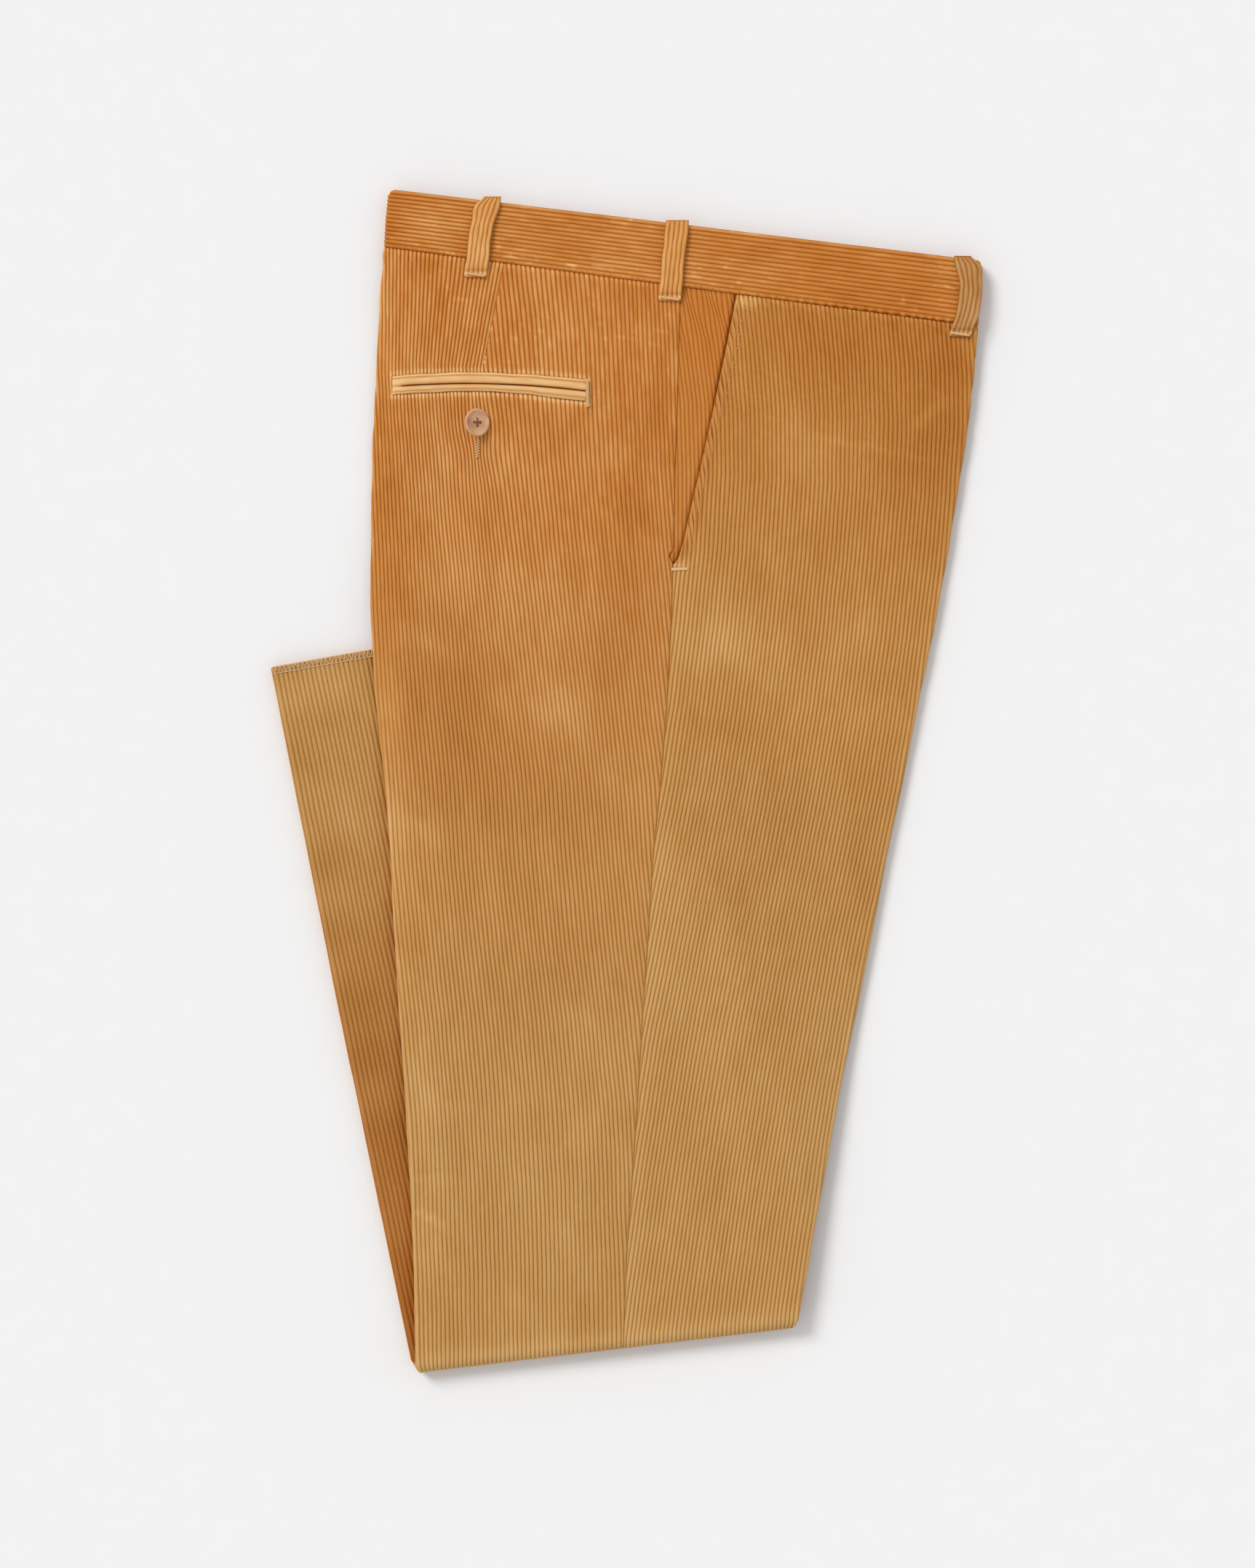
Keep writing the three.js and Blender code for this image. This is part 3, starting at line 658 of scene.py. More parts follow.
def front_tone(x, y, height, count):
    edge = np.where(y >= POCKET_END, along(POCKET_EDGE, "x", y), section("seam", y))
    from_edge = x - edge
    slanted = (y >= POCKET_END).astype(float)
    seam_shows = 0.05 + 0.25 * ease((y + 50) / 250)
    shade = (1 - slanted) * (seam_shows * dotted(from_edge, y) + 0.14 * bump(from_edge - 4, 5))
    shade = shade + pale_ends(WAIST_Y - y, height, count, 0.25)
    shade = shade + 0.7 * bump(from_edge - 2, 3) * bump(y - 312, 9)
    rope = pocket_rope(y, from_edge) + 0.4 * noise(0 * y, y / 3, 39)
    # Painted shade in the sunken band beside the turned slanted edge and along its stitch line, and a painted
    # highlight over the turn of the fold.
    valley_shade = -0.3 * bump(from_edge - 2.8, 2.5) - 0.15 * bump(from_edge - 7.4, 0.8)
    shade = shade + slanted * valley_shade + 0.4 * bump(y - FOLD_Y + 4, 8)
    crease = 0.3 * bump(section("front", y) - x - 0.5, 1.8)
    # Painted highlight on raised front creases, painted shade on sunken ones.
    crease = crease + 0.5 * crease_relief(FRONT_CREASES, x, y)
    strength = 0.08 + 0.1 * ease((y - 250) / 60)
    return shade + crease + strength * streaks(count, y, 40) + patches(FRONT_PATCHES, x, y, 33)


def plain_tone(x, y, height, count):
    return 0.1 * noise(x / 30, y / 50, 35) + 0.1 * streaks(count, y, 46)


def lower_tone(x, y, height, count):
    """The left leg's strip is darker where the stack lies on it and just beside it, a painted shadow of the
    stack.
    """
    world = place(LEFT, x, y + 0 * x, LIP_OUTSIDE)
    level = height_at(world[..., 0], world[..., 1])
    clear = section("back", level) - world[..., 0]
    clouds = 0.3 * noise(x / 28 + 3, y / 22, 66)
    # The two bumps of clear paint the stack's shadow on the strip.
    return (plain_tone(x, y, height, count) + clouds - 0.5 * bump(np.maximum(clear, 0), 3.5)
            - 0.1 * bump(np.maximum(clear, 0), 12))


def spread(*stops):
    """Heights from stop to stop, each stretch with its own step."""
    rows = []
    for (start, step), (end, _) in zip(stops, stops[1:]):
        parts = max(1, round(abs(end - start) / step))
        rows += [start + (end - start) * i / parts for i in range(parts)]
    return rows + [stops[-1][0]]


UPPER_ROWS = spread((WAIST_Y - SEAM_GAP / 2, 1.0), (310, 2.2), (270, 1.6), (226, 2.6), (150, 1.4),
                    (138, 4), (FOLD_Y + 10, 3), (FOLD_Y, 2.6), (FOLD_END, 45), (HEM_Y, 1))
LOWER_ROWS = spread((WAIST_Y - GAP / 2, 16), (FOLD_Y, 2.6), (FOLD_END, 6), (HEM_Y, 1))
PLAIN_ROWS = spread((WAIST_Y - GAP / 2, 16), (FOLD_Y, 2.6), (FOLD_END, 20), (HEM_Y, 1))


def back_low(y):
    return section("back", y) + LIP_OUTSIDE - NEUTRAL * math.pi - FLAP


def back_high(y):
    """The side seam, and beside the pocket's lower end a small bay that holds it open."""
    return section("seam", y) - SEAM_GAP / 2 - 2.8 * bump(y - 144.5, 3.2)


def front_high(y):
    return section("front", y) - LIP_OUTSIDE + NEUTRAL * math.pi + FLAP


def front_low(y):
    edge = np.where(y >= POCKET_END, along(POCKET_EDGE, "x", y), section("seam", y))
    return edge + SEAM_GAP / 2


def panels(cloth, front_cloth, lower_cloth):
    right_back = panel("right_back_cloth", RIGHT, back_wale, back_low, back_high, UPPER_ROWS,
                       back_relief, back_tone, cloth)
    right_front = panel("right_front_cloth", RIGHT, front_wale, front_low, front_high,
                        UPPER_ROWS, front_relief, front_tone, front_cloth)

    def lower_wale(count, y):
        return (back_wale(count * 0, y) + LOWER_PITCH * count + wander(count, y)
                - wander(count * 0, y))

    def plain_front(y):
        return section("seam", y) + GAP / 2

    left_back = panel("left_back_cloth", LEFT, lower_wale, back_low, back_high, LOWER_ROWS,
                      plain_relief, lower_tone, lower_cloth, depth=0.7)
    left_front = panel("left_front_cloth", LEFT, front_wale, plain_front, front_high,
                       PLAIN_ROWS, plain_relief, plain_tone, lower_cloth, COARSE)
    legs = {
        "right_back_panel": (right_back, (0.204, 1.151), 0.216),
        "right_front_panel": (right_front, (0.21, 1.151), 0.185),
        "left_back_panel": (left_back, (0.204, 1.151), 0.216),
        "left_front_panel": (left_front, (0.204, 1.151), 0.19),
    }
    for node, (piece, flat, area) in legs.items():
        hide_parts(node)
    return legs


def facing_relief(x, y, count):
    under_edge = along(POCKET_EDGE, "x", y) - x
    return -0.55 * bump(under_edge, 2.5) + plain_relief(x, y, count)


def facing_tone(x, y, height, count):
    under_edge = along(POCKET_EDGE, "x", y) - x
    beside_seam = x - back_high(y)
    shadow = 1.0 + 0.6 * ease((y - 200) / 80)
    # shadow is painted shadow under the slanted edge; the last term is painted shade in the pocket's open
    # lower end.
    return (plain_tone(x, y, height, count) - 0.08 - shadow * bump(under_edge - 0.2, 1.5)
            + 0.45 * dotted(beside_seam, y) + pale_ends(WAIST_Y - y, height, count, 0.25)
            - 0.4 * bump(y - 143, 5))


def facing(cloth):
    rows = spread((WAIST_Y - GAP / 2, 2.5), (POCKET_END + 2 * GAP, 1))
    piece = panel(
        "pocket_facing_cloth", RIGHT, facing_wale,
        lambda y: back_high(y) + SEAM_GAP,
        lambda y: along(POCKET_EDGE, "x", y) - SEAM_GAP / 2,
        rows, facing_relief, facing_tone, cloth,
        outside=LIP_INSIDE + FACING_CLOTH, depth=0.6,
    )
    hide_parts("pocket_facing")
    return piece


def rounded(distance, radius):
    """How far a rounded edge has dropped at a distance from the edge."""
    t = np.clip(1 - distance / radius, 0, 1)
    return radius * (1 - np.sqrt(1 - t * t))


def waistband(name, leg, node, cloth, parts=120):
    """One half of the waistband, with its wales lengthwise."""
    low = WAIST_Y + SEAM_GAP / 2
    phases = np.array(FINE)
    counts = np.concatenate([k + phases for k in range(BAND_WALES)] + [[BAND_WALES]])
    share = counts / BAND_WALES
    y = (BAND_TOP + (low - BAND_TOP) * share)[:, None]
    start = section("back", y) + BAND_LIP - NEUTRAL * math.pi - FLAP
    end = section("front", y) - BAND_LIP + NEUTRAL * math.pi + FLAP
    turn = np.linspace(0, 1, 9)
    back_lip = section("back", y) + BAND_LIP - NEUTRAL * math.pi * (1 - turn)
    front_lip = section("front", y) - BAND_LIP + NEUTRAL * math.pi * turn
    flat = np.linspace(0, 1, parts + 1)[1:-1]
    middle = back_lip[:, -1:] + (front_lip[:, :1] - back_lip[:, -1:]) * flat
    x = np.concatenate([start, back_lip, middle, front_lip, end], axis=1)
    height = ridge(counts)[:, None] + 0 * x
    waver = 0.12 * noise(x / 30, counts[:, None] / 3, 41)
    y_wavy = y + waver * np.minimum(1, np.minimum(y - low, BAND_TOP - y))
    scallop = np.sin(2 * np.pi * x / 6.2 + 2 * noise(x / 20, 0 * x, 47))
    drawn_in = 0.04 + 0.26 * ease((x - 60) / 90)
    y_wavy = y_wavy + drawn_in * (1 - scallop) * bump(y - low, 1.8)
    drop = rounded(BAND_TOP - y, 1.2) + 0.35 * bump(y - low, 0.8)
    tick = np.mod(x / 3.6 + 0.2 * noise(x / 8, 0 * y, 42), 1)
    ticks = 0.6 * bump(y - low - 1.0, 1.0) * bump(tick - 0.5, 0.2)
    swell = 0.25 * noise(x / 22, y / 14, 43)
    out = BAND_LIP + BAND_DEPTH * (height - 1) - drop - ticks + swell
    outer = place(leg, x, y_wavy, np.maximum(out, LIP_INSIDE + 0.3), BAND_LIP)
    inside = LIP_INSIDE + rounded(BAND_TOP - y, 1.2) + 0 * x
    inner = place(leg, x, y + 0 * x, inside, BAND_LIP)
    # The band's tone holds painted light: tops paler than grooves, partly the pile; painted shadow along the
    # lower edge; painted highlight on the top edge; painted shade in the stitch dents; painted highlight on
    # the scallops' bulges.
    tone = (0.16 * noise(x / 40, y / 25, 44) + 0.24 * streaks(counts[:, None], x, 45)
            + (0.05 + 0.35 * bump(x + 150, 70)) * (height - 0.6) - 0.04
            - 0.25 * bump(y - low, 0.7) + 0.35 * bump(BAND_TOP - y, 0.9) - 0.5 * ticks
            + 0.8 * scuffs(x, y, 65) + 0.3 * bump(x + 130, 14) * bump(y - 340, 7) - 0.16 * ease((x - 60) / 120)
            - 0.4 * bump(x + 158, 26) + 0.3 * scallop * ease((x - 40) / 90) * bump(y - low - 1.6, 1.2)
            + 0.3 * bump(x - 205, 12))
    cloth_at = np.stack(np.broadcast_arrays(y * 1.0, x, height), axis=-1)
    shape = Shape()
    wall(shape, outer, inner, 1, None, cloth_at, tone)
    piece = shape.build(name, cloth)
    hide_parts(node)
    return piece


LOOPS = (
    {"name": "belt_loop_back", "x": -91.2, "y": 319, "lean": 0.125, "sweep": 0, "bend": 2.8,
     "shade": -0.1, "chamfer": 1},
    {"name": "belt_loop_side", "x": 30.8, "y": 304, "lean": 0.093, "sweep": 0, "bend": 0.4,
     "shade": -0.14, "chamfer": 0},
    {"name": "belt_loop_front", "x": 214.5, "y": 281.5, "lean": 0.1, "sweep": 4.2, "bend": -1.5,
     "shade": -0.1, "chamfer": -1},
)
LOOP_WIDTH = 14
LOOP_HEIGHT = 51
LOOP_TACK = 5
LOOP_RISE = 1.3
LOOP_WALES = 5


def belt_loop(cloth, name, x, y, lean, sweep, bend, shade, chamfer):
    steps = np.array(spread((0, 1.0), (8, 2.0), (43, 1.0), (LOOP_HEIGHT, 1)))
    phases = np.array(FINE)
    counts = np.concatenate([k + phases for k in range(LOOP_WALES)] + [[LOOP_WALES]])
    s, count = np.meshgrid(steps, counts, indexing="ij")
    w = count / LOOP_WALES * 2 - 1
    bow = np.sin(np.pi * s / LOOP_HEIGHT)
    base = LIP_OUTSIDE + (BAND_LIP - LIP_OUTSIDE) * ease((s - 3) / 4)
    out = base + GAP + LOOP_RISE * bow
    ends = np.minimum(s, LOOP_HEIGHT - s)
    top_end = LOOP_HEIGHT - s
    narrow = 1.04 - 0.04 * bump(top_end, 3) - 0.05 * bump(s, 1.2) + 0.035 * noise(w + 3, s / 5, 53)
    kink = bend * ease((s - 30) / 18)
    middle = x + lean * (s - LOOP_HEIGHT / 2) + sweep * bow + kink
    waver = 0.35 * noise(w * 1.5 + 7, s / 7, 54)
    cut = 4 * np.clip(1 - top_end / 5, 0, 1) - 1.6 * bump(top_end - 8, 5)
    cut = cut * np.clip(0.5 - 0.5 * w * chamfer, 0, 1)
    flat_x = middle + w * LOOP_WIDTH / 2 * narrow + waver + chamfer * cut
    height = ridge(count) * ease(ends / 1.5)
    drop = 0.9 * rounded((1 - np.abs(w)) * LOOP_WIDTH / 2, 1.0) + 0.8 * rounded(ends, 1.0)
    tack = 0.35 * bump(s - LOOP_TACK + 1.5, 0.9)
    top = out + CLOTH + 0.6 * (height - 1) - drop - tack + 0.15 * noise(w * 2, s / 9, 51)
    level = height_at(flat_x, y + s)
    outer = place(RIGHT, flat_x, level, np.maximum(top, out + 0.3), BAND_LIP, out)
    inner = place(RIGHT, flat_x, level, out, BAND_LIP, out)
    shape = Shape()
    cloth_at = np.stack([count * 2.8 + x, s, height], axis=-1)
    # Tops paler than grooves, partly the pile and partly painted highlight and shade; the right half darker, a
    # painted shade.
    tone = (shade + 0.3 * streaks(count + x, s * 1.4, 52) + 0.35 * (height - 0.5) - 0.1 * ease(w)
            + 0.7 * bump(s - 1.6, 1.5) - 0.4 * bump(s - 4.4, 0.7) - 0.3 * bump(top_end, 0.8))
    wall(shape, outer, inner, 1, None, cloth_at, tone)
    piece = shape.build(f"{name}_cloth", cloth)
    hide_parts(name)
    return piece


JET_WALES = 2


def jet(cloth, node, near, far):
    """One jet of the back pocket: a folded strip with two wales lengthwise."""
    phases = np.array((0, 0.08, 0.18, 0.3, 0.42, 0.54, 0.66, 0.78, 0.9))
    counts = np.concatenate([k + phases for k in range(JET_WALES)] + [[JET_WALES]])
    xs = np.linspace(SLIT["x"][0], SLIT["x"][2], 190)
    count, x = np.meshgrid(counts, xs, indexing="ij")
    share = count / JET_WALES
    waver = 0.25 * noise(x / 12, 0 * x + near, 61)
    ends = np.minimum(x - SLIT["x"][0], SLIT["x"][2] - x)
    from_left = x - SLIT["x"][0]
    closed = 1 - ease((from_left - 3) / 3)
    offset = near * (1 - 0.9 * closed) + (far - near) * share + waver * share
    flat_y = np.polyval(SLIT_CURVE, x) + offset
    if far < 0:
        flat_y = flat_y - (lower_jet(x) - LOWER_JET) * share
    lobe = np.sin(np.pi * np.clip((share - 0.02) / 0.72, 0, 1)) ** 0.7
    outer_lobe = np.sin(np.pi * np.clip((share - 0.74) / 0.3, 0, 1)) ** 0.7
    height = np.maximum(lobe, 0.75 * outer_lobe)
    groove = 0.2 * bump(share - 0.36 + 0.05 * noise(x / 20, 0 * x + near, 63), 0.05)
    fringe = 0.3 * np.sin(x / BACK_PITCH * 2 * np.pi) * bump(share - 1, 0.12)
    out = LIP_OUTSIDE + GAP + JET_CLOTH + 1.1 * (height - 0.7) - groove + fringe
    out = out - 0.7 * bump(ends, 1.0) - 0.7 * bump(share - 1, 0.1)
    low = LIP_OUTSIDE + GAP
    outer = on_leg(x, flat_y, np.maximum(out, low + 0.25))
    inner = on_leg(x, flat_y, low)
    shape = Shape()
    cloth_at = np.stack([count * 3, x, height], axis=-1)
    # slit_shows marks where the slit is open; the slit gets a painted shadow, and the groove between the jet's
    # wales painted shade.
    slit_shows = ease((from_left - 4.5) / 3)
    tone = (0.2 * noise(x / 9, share * 4, 62) - 1.9 * slit_shows * bump(share, 0.06)
            - 0.4 * bump(share - 0.76, 0.03) - 0.15 * bump(share - 0.36, 0.05) + 0.2
            + 0.35 * bump(share - 1, 0.12))
    wall(shape, outer, inner, 1, None, cloth_at, tone)
    piece = shape.build(f"{node}_cloth", cloth)
    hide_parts(node)
    return piece


SLACK = 0.5
INNER_SHEETS = 4


def inner_layers(cloth):
    """The cloth inside both legs, as loose sheets that show at the open edges."""
    rows = spread((BAND_TOP - 3, 5), (WAIST_Y, 12), (FOLD_Y, 3), (FOLD_END, 30), (HEM_Y, 1))
    y = np.array(rows)[:, None]
    share = np.linspace(0, 1, 49)[None]
    wide = y > LIFT_FROM
    lip = np.where(wide, BAND_LIP, LIP_OUTSIDE)
    left = section("back", y) + lip + FLAP + GAP
    right = section("front", y) - lip - FLAP - GAP
    x = left + (right - left) * share
    lift = WAIST_LIFT * ease((y - LIFT_FROM) / (WAIST_Y - LIFT_FROM))
    low = LEFT_LEVEL - LIP_INSIDE + SLACK + np.where(y > 302, BAND_CLOTH - CLOTH, 0)
    high = RIGHT_LEVEL + LIP_INSIDE - SLACK + lift
    shape = Shape()
    for i in range(INNER_SHEETS):
        bottom = low + (high - low) * i / INNER_SHEETS
        top = bottom + (high - low) / INNER_SHEETS * 0.82
        sway = 0.15 * noise(x / 30, y / 40 + i * 7, 71 + i)
        flat_y = y + section("rise", y) * x
        outer = fold_over(x, flat_y, top + sway)
        inner = fold_over(x, flat_y, bottom + sway)
        wall(shape, outer, inner, 1, None, np.stack(np.broadcast_arrays(x, y, 0.5), axis=-1),
             0 * x)
    piece = shape.build("inner_layers_cloth", cloth)
    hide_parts("inner_layers")
    return piece


# Materials, with colours given as the screen's red, green and blue

def colour(red, green, blue):
    """A screen colour from 0 to 255 as the linear colour that a shader takes."""
    parts = []
    for part in (red, green, blue):
        part = part / 255
        parts.append(part / 12.92 if part <= 0.04045 else ((part + 0.055) / 1.055) ** 2.4)
    return (*parts, 1)


class Nodes:
    """A material's node tree, with short ways to add to it."""

    def __init__(self, name):
        self.material = bpy.data.materials.new(name)
        self.material.use_nodes = True
        self.tree = self.material.node_tree
        self.shader = self.tree.nodes["Principled BSDF"]

    def add(self, kind, inputs=None, **settings):
        node = self.tree.nodes.new(kind)
        for key, value in settings.items():
            setattr(node, key, value)
        for key, value in (inputs or {}).items():
            self.put(node, key, value)
        return node

    def put(self, node, key, value):
        if isinstance(value, bpy.types.NodeSocket):
            self.tree.links.new(value, node.inputs[key])
        else:
            node.inputs[key].default_value = value

    def mix(self, factor, a, b, mode="MIX"):
        node = self.add("ShaderNodeMix", data_type="RGBA", blend_type=mode)
        for index, value in ((0, factor), (6, a), (7, b)):
            self.put(node, index, value)
        return node.outputs[2]

    def math(self, operation, a, b=0.0):
        node = self.add("ShaderNodeMath", operation=operation)
        self.put(node, 0, a)
        self.put(node, 1, b)
        return node.outputs[0]

    def remap(self, value, low, high, to_low, to_high):
        node = self.add("ShaderNodeMapRange", {
            "Value": value, "From Min": low, "From Max": high,
            "To Min": to_low, "To Max": to_high,
        })
        return node.outputs[0]

    def noise(self, vector, scale, detail=3, stretch=None):
        if stretch:
            vector = self.add("ShaderNodeMapping", {"Vector": vector, "Scale": stretch}).outputs[0]
        node = self.add("ShaderNodeTexNoise", {
            "Vector": vector, "Scale": scale, "Detail": detail, "Roughness": 0.6,
        })
        return node.outputs["Fac"]

    def surface(self, colour_socket, roughness, height=None, strength=0.4, distance=0.0003):
        self.put(self.shader, "Base Color", colour_socket)
        self.shader.inputs["Roughness"].default_value = roughness
        if height is not None:
            node = self.add("ShaderNodeBump", {
                "Height": height, "Strength": strength, "Distance": distance,
            })
            self.put(self.shader, "Normal", node.outputs[0])
        return self.material


def corduroy(name, upper, lower, fade=(0.28, -0.2), sheen=0.08):
    """Corduroy in three colours, deep, middle and pale, at the waist and lower down.

    Grooves are deep and wale tops pale, partly the pile's own colour and partly painted shade in the grooves
    and painted highlight on the tops. Worn-down pile is deep. Tone shifts a place either way.
    """
    n = Nodes(name)
    cloth = n.add("ShaderNodeAttribute", attribute_name="cloth").outputs["Vector"]
    tone = n.add("ShaderNodeAttribute", attribute_name="tone").outputs["Fac"]
    height = n.add("ShaderNodeSeparateXYZ", {"Vector": cloth}).outputs["Z"]
    where = n.add("ShaderNodeTexCoord").outputs["Object"]
    along_y = n.add("ShaderNodeSeparateXYZ", {"Vector": where}).outputs["Y"]
    down = n.remap(along_y, *fade, 0, 1)
    streak = n.noise(cloth, 1, 4, stretch=(0.9, 0.12, 0.5))
    nap = n.noise(cloth, 1, 3, stretch=(0.07, 0.035, 0.1))
    fibre = n.noise(where, 1900, 3)
    # Wale height sets the colour: deeper in the grooves, paler on the tops, partly painted shade and painted
    # highlight.
    level = n.remap(height, 0, 1, 0.14, 0.58)
    for part, strength in ((streak, 0.2), (nap, 0.16), (fibre, 0.28)):
        level = n.math("ADD", level, n.math("MULTIPLY", n.math("SUBTRACT", part, 0.5), strength))
    level = n.math("ADD", level, n.math("MULTIPLY", tone, 0.5))
    deep, middle, pale = (n.mix(down, colour(*a), colour(*b)) for a, b in zip(upper, lower))
    base = n.mix(n.remap(level, 0, 0.5, 0, 1), deep, middle)
    base = n.mix(n.remap(level, 0.5, 1, 0, 1), base, pale)
    dark = n.remap(level, -0.5, 0.05, 0.25, 1)
    shade = n.add("ShaderNodeCombineColor", {"Red": dark, "Green": dark, "Blue": dark})
    base = n.mix(1.0, base, shade.outputs[0], "MULTIPLY")
    n.shader.inputs["Sheen Weight"].default_value = sheen
    n.shader.inputs["Sheen Roughness"].default_value = 0.45
    n.shader.inputs["Sheen Tint"].default_value = colour(255, 214, 160)
    n.shader.inputs["Specular IOR Level"].default_value = 0.12
    pile = n.math("ADD", fibre, n.math("MULTIPLY", streak, 0.8))
    return n.surface(base, 0.92, pile, 0.45, 0.0005)


def cloth_back_material():
    """The corduroy's plain woven back."""
    n = Nodes("cloth_back")
    where = n.add("ShaderNodeTexCoord").outputs["Object"]
    weave = n.add("ShaderNodeTexWave", {"Vector": where, "Scale": 500.0, "Distortion": 1.5})
    speckle = n.noise(where, 900)
    base = n.mix(speckle, colour(150, 92, 44), colour(188, 130, 76))
    base = n.mix(n.remap(weave.outputs["Fac"], 0, 1, 0, 0.3), base, colour(120, 72, 34))
    return n.surface(base, 0.9, weave.outputs["Fac"], 0.3)


def thread_material(name, light, dark, roughness=0.6):
    n = Nodes(name)
    where = n.add("ShaderNodeTexCoord").outputs["Object"]
    twist = n.noise(where, 2600, 2)
    base = n.mix(n.remap(twist, 0.3, 0.7, 0, 1), colour(*dark), colour(*light))
    return n.surface(base, roughness, twist, 0.3, 0.0001)


def button_material():
    """Pale brown polyester with soft clouds."""
    n = Nodes("button_polyester")
    where = n.add("ShaderNodeTexCoord").outputs["Object"]
    cloud = n.noise(where, 130, 4)
    base = n.mix(n.remap(cloud, 0.35, 0.7, 0, 1), colour(196, 142, 102), colour(228, 182, 140))
    n.shader.inputs["Coat Weight"].default_value = 0.35
    n.shader.inputs["Coat Roughness"].default_value = 0.15
    n.shader.inputs["Subsurface Weight"].default_value = 0.15
    n.shader.inputs["Subsurface Scale"].default_value = 0.002
    return n.surface(base, 0.32, cloud, 0.05)


def floor_material():
    n = Nodes("floor_paper")
    where = n.add("ShaderNodeTexCoord").outputs["Object"]
    grain = n.noise(where, 60)
    base = n.mix(n.remap(grain, 0.3, 0.7, 0, 1), colour(245, 245, 245), colour(246, 246, 246))
    n.shader.inputs["Specular IOR Level"].default_value = 0.0
    return n.surface(base, 1.0)


# Threads

THREAD_SIDES = 6


def thread(shape, path, radius, taper=True):
    """A thread along a path of points, with its ends tapered into the cloth."""
    path = np.asarray(path, float)
    ahead = np.gradient(path, axis=0)
    ahead /= np.linalg.norm(ahead, axis=1)[:, None] + 1e-9
    side = np.cross(ahead, (0, 0, 1.0))
    length = np.linalg.norm(side, axis=1)[:, None]
    side = np.where(length > 1e-4, side / np.maximum(length, 1e-9), (1.0, 0, 0))
    up = np.cross(side, ahead)
    angle = np.arange(THREAD_SIDES + 1) / THREAD_SIDES * 2 * np.pi
    size = np.ones(len(path)) * radius
    if taper:
        size[[0, -1]] *= 0.35
    ring = (np.cos(angle)[None, :, None] * side[:, None] + np.sin(angle)[None, :, None] * up[:, None])
    points = path[:, None] + ring[:, :-1] * size[:, None, None]
    # Height in the cloth attribute is 1 on a thread's upper side and 0 beneath; a corduroy material turns it
    # into painted highlight on top and painted shade below.
    top = 0.5 + 0.5 * np.sin(angle[:-1])[None] + 0 * size[:, None]
    cloth = np.stack([0 * top + path[:1, 1:2] / 3, 0 * top + path[:, 1:2], top], axis=-1)
    numbers = shape.add(points, cloth)
    closed = np.concatenate([numbers, numbers[:, :1]], axis=1)
    u = np.linspace(0, 1, THREAD_SIDES + 1)[None]
    v = np.linspace(0, 1, len(path))[:, None]
    shape.grid(closed, u, v)
    for end, order in ((0, 1), (-1, -1)):
        ring_numbers = numbers[end][::order][None]
        shape.face(ring_numbers, np.zeros((1, THREAD_SIDES, 2)))


def stitch_line(shape, start, end, pitch, length, radius, out, bow=0.25, wobble=0.0, seed=81):
    """A row of stitches between two places on the flat cloth."""
    rng = np.random.default_rng(seed)
    (ax, ay), (bx, by) = start, end
    run = math.hypot(bx - ax, by - ay)
    ux, uy = (bx - ax) / run, (by - ay) / run
    t = np.linspace(0, 1, 6)
    for i in range(int(run / pitch)):
        at = i * pitch + rng.uniform(-0.1, 0.1)
        off = rng.uniform(-1, 1) * wobble
        s = at + t * length
        x, y = ax + ux * s - uy * off, ay + uy * s + ux * off
        thread(shape, on_leg(x, y, out + bow * np.sin(np.pi * t) - 0.15), radius)


def bar_tack(shape, start, end, width, radius, out, turns=1.6):
    """A dense zigzag between two places on the flat cloth."""
    (ax, ay), (bx, by) = start, end
    run = math.hypot(bx - ax, by - ay)
    ux, uy = (bx - ax) / run, (by - ay) / run
    steps = int(run / radius * turns / 2) * 2
    s = np.linspace(0, run, steps)
    off = np.where(np.arange(steps) % 2 == 0, -1, 1) * width / 2
    x, y = ax + ux * s - uy * off, ay + uy * s + ux * off
    fine = np.linspace(0, 1, 4)[:-1]
    xs = np.concatenate([x[:-1, None] + (x[1:] - x[:-1])[:, None] * fine, ], axis=0).ravel()
    ys = np.concatenate([y[:-1, None] + (y[1:] - y[:-1])[:, None] * fine, ], axis=0).ravel()
    lift = np.tile(np.sin(np.pi * fine) * 0.3, len(x) - 1)
    thread(shape, on_leg(xs, ys, out + lift), radius)


